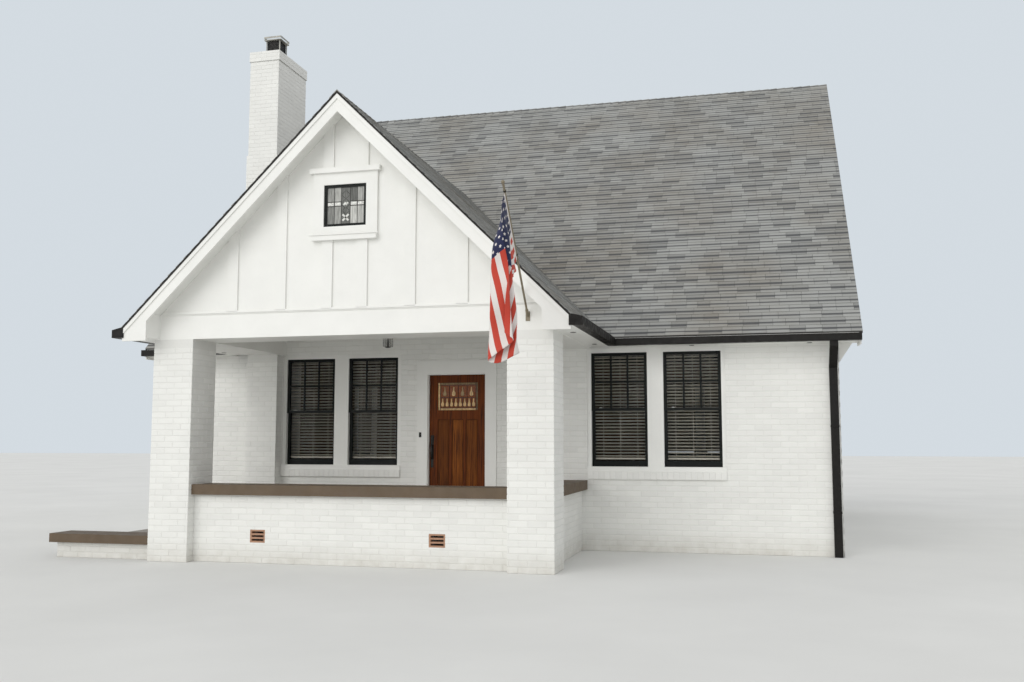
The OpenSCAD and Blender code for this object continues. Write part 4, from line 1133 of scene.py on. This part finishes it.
class BUNGALOW_OT_leaded_glass(bpy.types.Operator):
    """Lead the gable window and the light in the front door"""

    bl_idname = "bungalow.leaded_glass"
    bl_label = "Leaded glass"

    def execute(self, context):
        self.gable_window()
        self.door_light()
        self.door_panels()
        self.handle_plates()
        return {"FINISHED"}

    def door_panels(self):
        """A fielded panel in each recess of the leaf, ringed by sticking in the darkest tone: painted shade along the
        recess edges.
        """
        floor = corners("front_door")[0].y + 0.010
        points = [v.co for v in frame["nodes"]["front_door"].data.vertices if abs(v.co.y - floor) < 0.001]
        xs = sorted({round(co.x, 3) for co in points})
        z0, z1 = min(co.z for co in points), max(co.z for co in points)
        if len(xs) != 6:
            raise RuntimeError("the leaf should have three recesses")
        strip, field = 0.012, 0.014
        fields, sticking = [], []
        for x0, x1, tone in zip(xs[::2], xs[1::2], (0.25, 1.0, 0.55)):
            panel = block("field", (x0 + field, floor - 0.007, z0 + field), (x1 - field, floor, z1 - field))
            fields.append(toned(inset(panel, FRONT, 0.018, 0.002), tone))
            for a, b, foot, top in ((x0, x0 + strip, z0, z1), (x1 - strip, x1, z0, z1),
                                    (x0 + strip, x1 - strip, z0, z0 + strip),
                                    (x0 + strip, x1 - strip, z1 - strip, z1)):
                # The sticking takes the darkest tone, a painted shade line round each panel.
                sticking.append(toned(block("sticking", (a, floor - 0.004, foot), (b, floor, top), 0.002), 0.0))
        dress(joined("door_panels", fields + sticking), "door_wood", "panel_wood", body="door")

    def handle_plates(self):
        low, high = corners("door_handle")
        face = corners("front_door")[0].y
        x = (low.x + high.x) / 2
        dress(joined("handle_plates", [
            block("lock_plate", (x - 0.024, face - 0.004, high.z - 0.075), (x + 0.030, face, high.z + 0.012),
                  0.003, rounds=2),
            block("foot_plate", (x - 0.020, face - 0.004, low.z - 0.085), (x + 0.022, face, low.z + 0.040),
                  0.003, rounds=2),
            turned("cylinder", (x + 0.004, face - 0.004, high.z - 0.030),
                   [(0.016, 0), (0.016, 0.006), (0.013, 0.009)], 24, FRONT),
        ]), "ironwork", body="door")

    def gable_window(self):
        """Five columns of streaky glass, a band of bevelled pieces, and a diamond and a cross in the middle."""
        lead = sizes().lead_width
        low, high = corners("gable_window_glass")
        y = low.y
        wide, tall = high.x - low.x, high.z - low.z
        columns = (0.0, 0.19, 0.38, 0.62, 0.81, 1.0)
        tones = ((0.25, 0.55, 0.10, 1.0, 0.75), (0.45, 0.75, 0.12, 0.05, 0.65))
        z0, z1 = low.z + 0.49 * tall, low.z + 0.61 * tall
        band = (z0 + z1) / 2
        made = bars_on("front", low, high, columns[1:-1], (), lead, 0.007, 0.004, 0.002)
        panes, bevels = [], []
        for column, (left, right) in enumerate(zip(columns, columns[1:])):
            x0, x1 = low.x + left * wide, low.x + right * wide
            wider = right - left > 0.2
            for row, (foot, top) in enumerate(((low.z, band if wider else z0), (band if wider else z1, high.z))):
                pane = block("pane", (x0 + lead / 3, y - 0.0022, foot), (x1 - lead / 3, y - 0.0004, top))
                panes.append(toned(pane, tones[row][column]))
            if wider:
                middle = (x0 + x1) / 2
                for z, reach, width in ((band, 0.092, 0.8), (low.z + 0.80 * tall, 0.078, 0.7),
                                        (low.z + 0.36 * tall, 0.064, 0.7)):
                    made += self.diamond(middle, z, y, reach, lead * width)
                cross, petals = self.blossom(middle, low.z + 0.17 * tall, y, lead)
                made += cross
                bevels += petals
                for across in (-0.014, 0.014):
                    bevels.append(block("bevel", (middle + across - 0.012, y - 0.005, band - 0.022),
                                        (middle + across + 0.012, y, band + 0.022), 0.003,
                                        turn=(0, math.radians(45), 0)))
            else:
                for z in (z0, z1):
                    made.append(self.strip(x0, x1, y, z - lead / 2, z + lead / 2))
                bevels.append(block("bevel", (x0 + lead * 0.7, y - 0.005, z0 + lead * 0.6),
                                    (x1 - lead * 0.7, y - 0.0004, z1 - lead * 0.6), 0.003))
        dress(joined("gable_window_lead", made), "ironwork", "lead")
        dress(joined("gable_panes", panes), "glass", "streaky_glass")
        dress(joined("gable_bevels", bevels), "glass", "bevel_glass")

    def strip(self, x0, x1, y, z0, z1):
        return block("lead", (x0, y - 0.004, z0), (x1, y + 0.002, z1), 0.002)

    def blossom(self, x, z, y, lead):
        """A slanted cross of lead and its four petals."""
        cross = [block("lead", (x - 0.062, y - 0.0036, z - lead / 2), (x + 0.062, y - 0.001, z + lead / 2), 0.0015,
                       turn=(0, math.radians(turn), 0)) for turn in (45, -45)]
        petals = []
        for angle in map(math.radians, (45, 135, 225, 315)):
            mx, mz = x + math.cos(angle) * 0.034, z + math.sin(angle) * 0.034
            petals.append(block("petal", (mx - 0.022, y - 0.0045, mz - 0.012), (mx + 0.022, y - 0.001, mz + 0.012),
                                0.004, turn=(0, -angle, 0)))
        return cross, petals

    def diamond(self, x, z, y, reach, width):
        """Four lead strips round a square that stands on its point."""
        strips = []
        half = reach * math.sqrt(0.5) / 2 + width / 2
        for angle in map(math.radians, (45, 135, 225, 315)):
            mx, mz = x + math.cos(angle) * reach * 0.5, z + math.sin(angle) * reach * 0.5
            strips.append(block("lead", (mx - half, y - 0.003, mz - width / 2), (mx + half, y + 0.002, mz + width / 2),
                                0.0015, turn=(0, math.pi / 2 - angle, 0)))
        return strips

    def door_light(self):
        """A border, a row of eight small lights and a row of four tall ones, in lead."""
        lead = sizes().lead_width * 0.8
        low, high = corners("door_glass")
        y = low.y
        wide, tall = high.x - low.x, high.z - low.z
        border = 0.034
        x0, x1 = low.x + border, high.x - border
        made = bars_on("front", low, high, (border / wide, 1 - border / wide), (border / tall, 1 - border / tall),
                       lead, 0.007, 0.004, 0.002)
        pieces = [toned(block("edge", (a, y - 0.003, foot), (b, y, top), 0.002), tone) for a, b, foot, top, tone in (
            (low.x, x0 - lead, low.z, high.z, 1.0), (x1 + lead, high.x, low.z, high.z, 0.05),
            (x0, x1, low.z, low.z + border - lead, 0.8), (x0, x1, high.z - border + lead, high.z, 0.15))]
        middle = low.z + 0.46 * tall
        for count, foot, top, share, rail, head in ((8, 0.14, 0.42, 0.33, low.z + 0.10 * tall, middle),
                                                    (4, 0.52, 0.84, 0.19, middle, low.z + 0.90 * tall)):
            pitch = (x1 - x0) / count
            for index in range(count):
                light = self.flame(x0 + (index + 0.5) * pitch, low.z + foot * tall, low.z + top * tall,
                                   share * pitch, y)
                pieces.append(toned(light, 0.9 if count == 8 or index % 2 else 0.35))
                if index:
                    edge = x0 + index * pitch
                    made.append(self.strip(edge - lead / 2, edge + lead / 2, y, rail, head))
        made.append(self.strip(x0, x1, y, middle - lead / 2, middle + lead / 2))
        dress(joined("door_lead", made), "ironwork", "lead", body="door")
        dress(joined("door_lights", pieces), "glass", "cream_glass", body="door")

    def flame(self, x, z0, z1, half, y):
        """A small drop-shaped light with a narrow neck and a ridge round its face."""
        tall = z1 - z0
        rings = ((0.0, 0.6), (0.13, 1.0), (0.36, 0.95), (0.60, 0.42), (1.0, 0.32))
        piece = block("light", (x - half * 0.6, y - 0.003, z0), (x + half * 0.6, y, z0 + tall * 0.13))
        edit(piece, lambda face: face.normal.z > 0.9)
        bpy.ops.transform.resize(value=(1 / 0.6, 1, 1), center_override=(x, y, z0 + tall * 0.13))
        for (foot, wide), (top, narrow) in zip(rings[1:], rings[2:]):
            bpy.ops.mesh.extrude_region_move(TRANSFORM_OT_translate={"value": (0, 0, (top - foot) * tall)})
            bpy.ops.transform.resize(value=(narrow / wide, 1, 1), center_override=(x, y, z0 + top * tall))
        mode("OBJECT")
        return inset(piece, FRONT, half * 0.18, 0.0015)


class BUNGALOW_OT_lantern(bpy.types.Operator):
    """Hang the glass lantern under the porch ceiling"""

    bl_idname = "bungalow.lantern"
    bl_label = "Lantern"

    def execute(self, context):
        low, high = corners("porch_light")
        x, y = (low.x + high.x) / 2, (low.y + high.y) / 2
        r = (high.x - low.x) / 2
        foot = low.z
        jar = [(0.55, 0.006), (0.84, 0.012), (0.97, 0.034), (0.97, 0.170), (0.88, 0.192), (0.66, 0.204), (0.62, 0.214)]
        dress(turned("lantern_jar", (x, y, foot), [(share * r, z) for share, z in jar], 40), "ironwork", "lamp_glass")
        parts = [
            turned("foot", (x, y, foot), [(r * 0.30, 0.0), (r * 0.52, 0.004), (r * 0.54, 0.014)]),
            turned("cap", (x, y, foot + 0.196), [(r * 0.66, 0.0), (r * 0.80, 0.004), (r * 0.80, 0.020),
                                                (r * 0.56, 0.030), (r * 0.20, 0.036), (0.009, 0.040)]),
            rod("stem", (x, y, foot + 0.23), (x, y, high.z - 0.014), 0.007),
            turned("rose", (x, y, high.z - 0.020), [(0.012, 0.0), (0.040, 0.006), (0.062, 0.012), (0.064, 0.020)]),
            turned("candle", (x, y, foot + 0.012), [(0.013, 0.0), (0.013, 0.085), (0.006, 0.095), (0.010, 0.112),
                                                   (0.004, 0.140)], 16),
        ]
        for angle in map(math.radians, (45, 135, 225, 315)):
            px, py = x + math.cos(angle) * r * 0.985, y + math.sin(angle) * r * 0.985
            parts.append(rod("rib", (px, py, foot + 0.014), (px, py, foot + 0.185), 0.0022, 8))
        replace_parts(dress(joined("lantern_metal", parts), "ironwork"), "porch_light")
        return {"FINISHED"}


class BUNGALOW_OT_small_fittings(bpy.types.Operator):
    """Fit the doorbell, gutter straps and guards, soffit vents, flashing and mouldings"""

    bl_idname = "bungalow.small_fittings"
    bl_label = "Small fittings"

    def execute(self, context):
        self.doorbell()
        self.gutter_straps()
        self.gutter_guards()
        self.soffit_vents()
        self.flashing()
        self.mouldings()
        return {"FINISHED"}

    def doorbell(self):
        frame_low = corners("door_frame")[0]
        x, y, z = frame_low.x + 0.052, frame_low.y, 1.557
        plate = block("bell_plate", (x - 0.018, y - 0.006, z - 0.035), (x + 0.018, y + 0.002, z + 0.035),
                      0.003, rounds=2)
        button = turned("bell_button", (x, y - 0.004, z), [(0.009, 0), (0.009, 0.006), (0.006, 0.009)], 20, FRONT)
        dress(joined("doorbell", [plate, button]), "ironwork")

    def gutter_straps(self):
        """Straps over the gutters and round the downspouts."""
        low, high = corners("main_gutters")
        porch_low, porch_high = corners("porch_gutters")
        gutter = 0.115
        z = high.z - 0.010, high.z - 0.004
        made = []
        for y0, y1 in ((low.y, low.y + gutter), (high.y - gutter, high.y)):
            for index in range(14):
                x = low.x + 0.25 + index * (high.x - low.x - 0.5) / 13
                if y0 != low.y or abs(x) >= porch_high.x + 0.05:
                    made.append(block("strap", (x - 0.012, y0 + 0.002, z[0]), (x + 0.012, y1 - 0.002, z[1]), 0.002))
        for x0, x1 in ((porch_low.x, porch_low.x + gutter), (porch_high.x - gutter, porch_high.x)):
            for index in range(4):
                y = porch_low.y + 0.25 + index * (porch_high.y - porch_low.y - 0.5) / 3
                made.append(block("strap", (x0 + 0.002, y - 0.012, z[0]), (x1 - 0.002, y + 0.012, z[1]), 0.002))
        reach, proud = 0.085, 0.004
        for spout_low, spout_high in islands("downspouts"):
            if spout_low.y < 6:
                y0, y1 = spout_high.y - reach - proud, spout_high.y
            else:
                y0, y1 = spout_low.y + proud, spout_low.y + reach + proud
            for foot in (0.55, 1.65):
                made.append(block("spout_strap", (spout_low.x - proud, y0, foot),
                                  (spout_high.x + proud, y1, foot + 0.028), 0.002))
        dress(joined("gutter_straps", made), "gutter_metal")

    def gutter_guards(self):
        """Sloping guards from the edge of the porch roof to the lip of each side gutter, closed at the front."""
        low, high = corners("porch_gutters")
        roof = corners("porch_roof")[1]
        board_low, board_high = corners("bargeboards")
        top = corners("main_gutters")[1].z
        eave = roof.z - roof.x * math.tan(PITCH)
        inner, outer = roof.x - 0.012, high.x
        slope = math.atan2(eave - top, outer - inner)
        half = Vector(((outer - inner) / math.cos(slope) / 2, (high.y - low.y) / 2 - 0.004, 0.002))
        made = []
        for sign in (-1, 1):
            middle = Vector((sign * (inner + outer) / 2, (low.y + high.y) / 2, (eave + top) / 2 + 0.006))
            made.append(block("guard", middle - half, middle + half, 0.001, turn=(0, sign * slope, 0)))
            a, b = sorted((sign * (board_high.x - 0.022), sign * outer))
            cap = block("guard_end", (a, board_low.y - 0.003, low.z), (b, low.y + 0.004, eave + 0.012))
            edit(cap)
            bpy.ops.mesh.bisect(plane_co=middle + UP * 0.002, plane_no=(sign * math.sin(slope), 0, math.cos(slope)),
                                use_fill=True, clear_outer=True)
            mode("OBJECT")
            made.append(cap)
        dress(joined("gutter_guards", made), "gutter_metal")

    def soffit_vents(self):
        low, high = corners("porch_eaves")
        main_low, main_high = corners("main_eaves")
        spots = [(x, y) for x in (high.x - 0.13, low.x + 0.13) for y in (0.15, 1.65)]
        for y in (main_low.y + 0.15, main_high.y - 0.15):
            for index in range(7):
                x = main_low.x + 0.6 + index * (main_high.x - main_low.x - 1.2) / 6
                if y > 6 or abs(x) >= high.x + 0.05:
                    spots.append((x, y))
        dress(joined("soffit_vents", [
            turned("vent", (x, y, low.z + 0.001), [(0.026, 0.0), (0.034, 0.003), (0.036, 0.005)], 24, -UP)
            for x, y in spots]), "gutter_metal")

    def flashing(self):
        """Stepped pieces beside the chimney, and an apron in front of it."""
        low, high = corners("chimney")
        apex = corners("main_roof_front")[1]
        pitch = 0.16

        def roof_at(y):
            return apex.z - abs(apex.y - y) * math.tan(PITCH)

        made = []
        for index in range(int((high.y - low.y) / pitch)):
            y = low.y + index * pitch
            made.append(block("step", (high.x - 0.004, y, roof_at(y) - 0.02),
                              (high.x + 0.004, y + pitch + 0.03, roof_at(y + pitch) + 0.07), 0.001))
        made.append(block("apron", (low.x + 0.004, low.y - 0.006, roof_at(low.y) - 0.05),
                          (high.x + 0.004, low.y + 0.004, roof_at(low.y) + 0.10), 0.002))
        dress(joined("chimney_flashing", made), "cap_metal")

    def mouldings(self):
        x = corners("gable_wall")[1].x - 0.03
        y, z = corners("porch_beam")[0].y, corners("porch_beam")[1].z
        low, high = corners("gable_window_casing")
        dress(joined("gable_moulding", [
            block("foot_moulding", (-x, y - 0.022, z - 0.012), (x, y + 0.004, z + 0.018), 0.006, rounds=3),
            block("foot_fillet", (-x, y - 0.012, z - 0.024), (x, y + 0.004, z - 0.012), 0.003),
            block("apron_bead", (low.x + 0.004, low.y - 0.014, low.z + 0.058),
                  (high.x - 0.004, low.y + 0.002, low.z + 0.074), 0.004, rounds=2),
        ]), "trim")


class BUNGALOW_OT_flag(bpy.types.Operator):
    """Hang the flag from its pole"""

    bl_idname = "bungalow.flag"
    bl_label = "Flag"

    def execute(self, context):
        hoist, fly = sizes().flag_hoist, sizes().flag_fly
        pole_low, pole_high = corners("flag_pole")
        ball = [v.co for v in frame["nodes"]["flag_pole"].data.vertices if v.co.y < pole_low.y + 0.036]
        tip = sum(ball, Vector((0, 0, 0))) / len(ball)
        foot = Vector((pole_low.x + 0.025, pole_high.y, pole_low.z + 0.055))
        along = (foot - tip).normalized()
        level = Vector((along.x, along.y, 0)).normalized()
        side = Vector((-level.y, level.x, 0))
        if side.x > 0:
            side = -side
        rise = -along.z
        start = tip + along * 0.12 - UP * 0.016
        columns, rows, steps = 66, 96, 4
        deselect()
        bpy.ops.mesh.primitive_grid_add(x_subdivisions=columns, y_subdivisions=rows, size=1, calc_uvs=True)
        piece = bpy.context.object
        piece.name = "hanging_flag"

        def ease(value):
            value = max(0.0, min(1.0, value))
            return value * value * (3 - 2 * value)

        def point(share_h, share_f):
            """A point of the hanging cloth, at its shares of the hoist and the fly, walked from the upper ring."""
            f = share_f * fly
            gather = ease(f / 0.62)
            front = 0.32 * f
            wave = 0.28 + 0.29 * f
            slack = 1.8 * ease(f / 1.35)
            lift = 0.05 * ease(f / 1.5)
            fall = rise * (1.0 - 0.2 * gather) + lift / max(front, 0.01)
            lateral = 0.030 * ease(f / 0.12) - 0.088 * max(0.0, f - 0.2) + 0.080 * ease((f - 0.8) / 0.7)
            lateral += 0.010 * gather * math.sin(5.2 * f)
            depth = 0.0
            sink = 0.962 * f - lift
            h = share_h * hoist
            count = max(1, round(share_h * columns * steps))
            for index in range(count):
                place = (index + 0.5) / count * h
                past = ease((place - front) / 0.26 + 0.2)
                slope = fall + (rise * (1.0 - slack) - fall) * past
                run = math.sqrt(max(0.1, 1 - slope * slope))
                angle = 1.48 * gather * math.tanh(3.0 * math.sin(2 * math.pi * (place - front) / wave))
                lateral -= math.sin(angle) * run * h / count
                depth += math.cos(angle) * run * h / count
                sink += slope * h / count
            small = 0.009 * gather * math.sin(30 * h + 5 * f) * ease(f / 0.4)
            sway = 0.040 * gather * math.sin(2 * math.pi * f / 0.62 + 3 * h)
            return start + level * (depth + small + sway) + side * lateral - UP * sink

        for vertex in piece.data.vertices:
            vertex.co = point(vertex.co.x + 0.5, vertex.co.y + 0.5)
        modify(piece, "SOLIDIFY", thickness=0.0016, offset=0)
        pick(piece)
        bpy.ops.object.shade_smooth()
        dress(piece, "flag_cloth")
        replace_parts(piece, "flag")
        rings = []
        for share in (0.0, 0.97):
            spot = tip + along * (0.12 + share * hoist)
            rings.append(rod("ring", spot - along * 0.008, spot + along * 0.008, 0.0165, 24, 0.003))
        dress(joined("flag_rings", rings), "ironwork")
        return {"FINISHED"}


class BUNGALOW_OT_finishes(bpy.types.Operator):
    """Give each carried-over part its finish"""

    bl_idname = "bungalow.finishes"
    bl_label = "Finishes"

    def execute(self, context):
        special = {"main_roof_front": "main_felt", "main_roof_rear": "main_felt", "porch_roof": "porch_felt",
                   "chimney": "outdoor_mortar", "flag_pole": "pole_paint", "gable_window_glass": "gable_glass",
                   "door_glass": "amber_glass"}
        slots = {part["node"]: part["material_slot"] for part in frame["record"]["subparts"]}
        for name, node in frame["nodes"].items():
            slot = special.get(name, slots[name])
            node.data.materials.clear()
            node.data.materials.append(finish("mortar" if slot == "brick" else slot))
        return {"FINISHED"}


class BUNGALOW_OT_stage(bpy.types.Operator):
    """Set the camera, the lights and the pale floor"""

    bl_idname = "bungalow.stage"
    bl_label = "Stage"

    def execute(self, context):
        scene = context.scene
        camera_data = bpy.data.cameras.new("camera")
        camera_data.lens = 35.08
        camera_data.sensor_width = 36
        camera_data.clip_end = 500
        camera = bpy.data.objects.new("camera", camera_data)
        camera.location = (4.861, -11.284, 1.488)
        camera.rotation_euler = (math.radians(95.647), 0, math.radians(14.188))
        scene.collection.objects.link(camera)
        scene.camera = camera
        sun_data = bpy.data.lights.new("key", "SUN")
        sun_data.energy = 1.16
        sun_data.angle = math.radians(50)
        sun_data.color = (1.0, 0.985, 0.955)
        sun = bpy.data.objects.new("key", sun_data)
        sun.rotation_euler = Vector((-0.28, -0.83, 0.38)).to_track_quat("Z", "Y").to_euler()
        scene.collection.objects.link(sun)
        deselect()
        bpy.ops.mesh.primitive_plane_add(size=160, location=(0, 5, -0.001))
        floor = bpy.context.object
        floor.name = "pale_floor"
        settle(floor)
        made = Finish("pale_floor", rough=0.9)
        dull, pale = map(linear, PALE_FLOOR)
        made.colour(made.ramp(made.noise(0.4), (0.3, dull), (0.7, pale)))
        floor.data.materials.append(made.material)
        floor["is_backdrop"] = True
        self.sky(scene)
        scene.view_settings.view_transform = "Standard"
        return {"FINISHED"}

    def sky(self, scene):
        """An even light on the object, and a pale background for the camera, the glass and the metal."""
        world = scene.world or bpy.data.worlds.new("world")
        scene.world = world
        world.use_nodes = True
        nodes, links = world.node_tree.nodes, world.node_tree.links
        nodes.clear()
        out = nodes.new("ShaderNodeOutputWorld")
        light, seen = nodes.new("ShaderNodeBackground"), nodes.new("ShaderNodeBackground")
        for node, shade, strength in ((light, (0.98, 0.99, 1.0), 0.75), (seen, linear((0.83, 0.86, 0.885)), 1.0)):
            node.inputs["Color"].default_value = (*shade, 1)
            node.inputs["Strength"].default_value = strength
        path, blend = nodes.new("ShaderNodeLightPath"), nodes.new("ShaderNodeMixShader")
        plain = path.outputs["Is Camera Ray"]
        for kind in ("Is Glossy Ray", "Is Transmission Ray"):
            either = nodes.new("ShaderNodeMath")
            either.operation = "MAXIMUM"
            links.new(plain, either.inputs[0])
            links.new(path.outputs[kind], either.inputs[1])
            plain = either.outputs[0]
        for socket, source in zip(blend.inputs, (plain, light.outputs[0], seen.outputs[0])):
            links.new(source, socket)
        links.new(blend.outputs[0], out.inputs[0])


OPERATORS = (
    BUNGALOW_OT_stage, BUNGALOW_OT_finishes, BUNGALOW_OT_house_bricks, BUNGALOW_OT_porch_bricks,
    BUNGALOW_OT_chimney_bricks, BUNGALOW_OT_sill_bricks, BUNGALOW_OT_shingles, BUNGALOW_OT_window_bars,
    BUNGALOW_OT_blinds, BUNGALOW_OT_leaded_glass, BUNGALOW_OT_lantern, BUNGALOW_OT_small_fittings,
    BUNGALOW_OT_flag,
)


class BUNGALOW_PT_panel(bpy.types.Panel):
    """Lists the steps that build the bungalow"""

    bl_idname = "BUNGALOW_PT_panel"
    bl_label = "Bungalow"
    bl_space_type = "VIEW_3D"
    bl_region_type = "UI"
    bl_category = "Bungalow"

    def draw(self, context):
        for operator in OPERATORS:
            self.layout.operator(operator.bl_idname)
        for group in (context.scene.bungalow_sizes, context.scene.bungalow_colours):
            for name in group.__annotations__:
                self.layout.prop(group, name)


CLASSES = (BungalowSizes, BungalowColours, *OPERATORS, BUNGALOW_PT_panel)


def register():
    for item in CLASSES:
        bpy.utils.register_class(item)
    bpy.types.Scene.bungalow_sizes = bpy.props.PointerProperty(type=BungalowSizes)
    bpy.types.Scene.bungalow_colours = bpy.props.PointerProperty(type=BungalowColours)


def unregister():
    del bpy.types.Scene.bungalow_colours
    del bpy.types.Scene.bungalow_sizes
    for item in reversed(CLASSES):
        bpy.utils.unregister_class(item)


def main():
    register()
    for operator in OPERATORS:
        group, name = operator.bl_idname.split(".")
        getattr(getattr(bpy.ops, group), name)()
    plain = [[list(map(float, corner)) for corner in box] for box in (FRAME_BOX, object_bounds())]


if __name__ == "__main__":
    main()
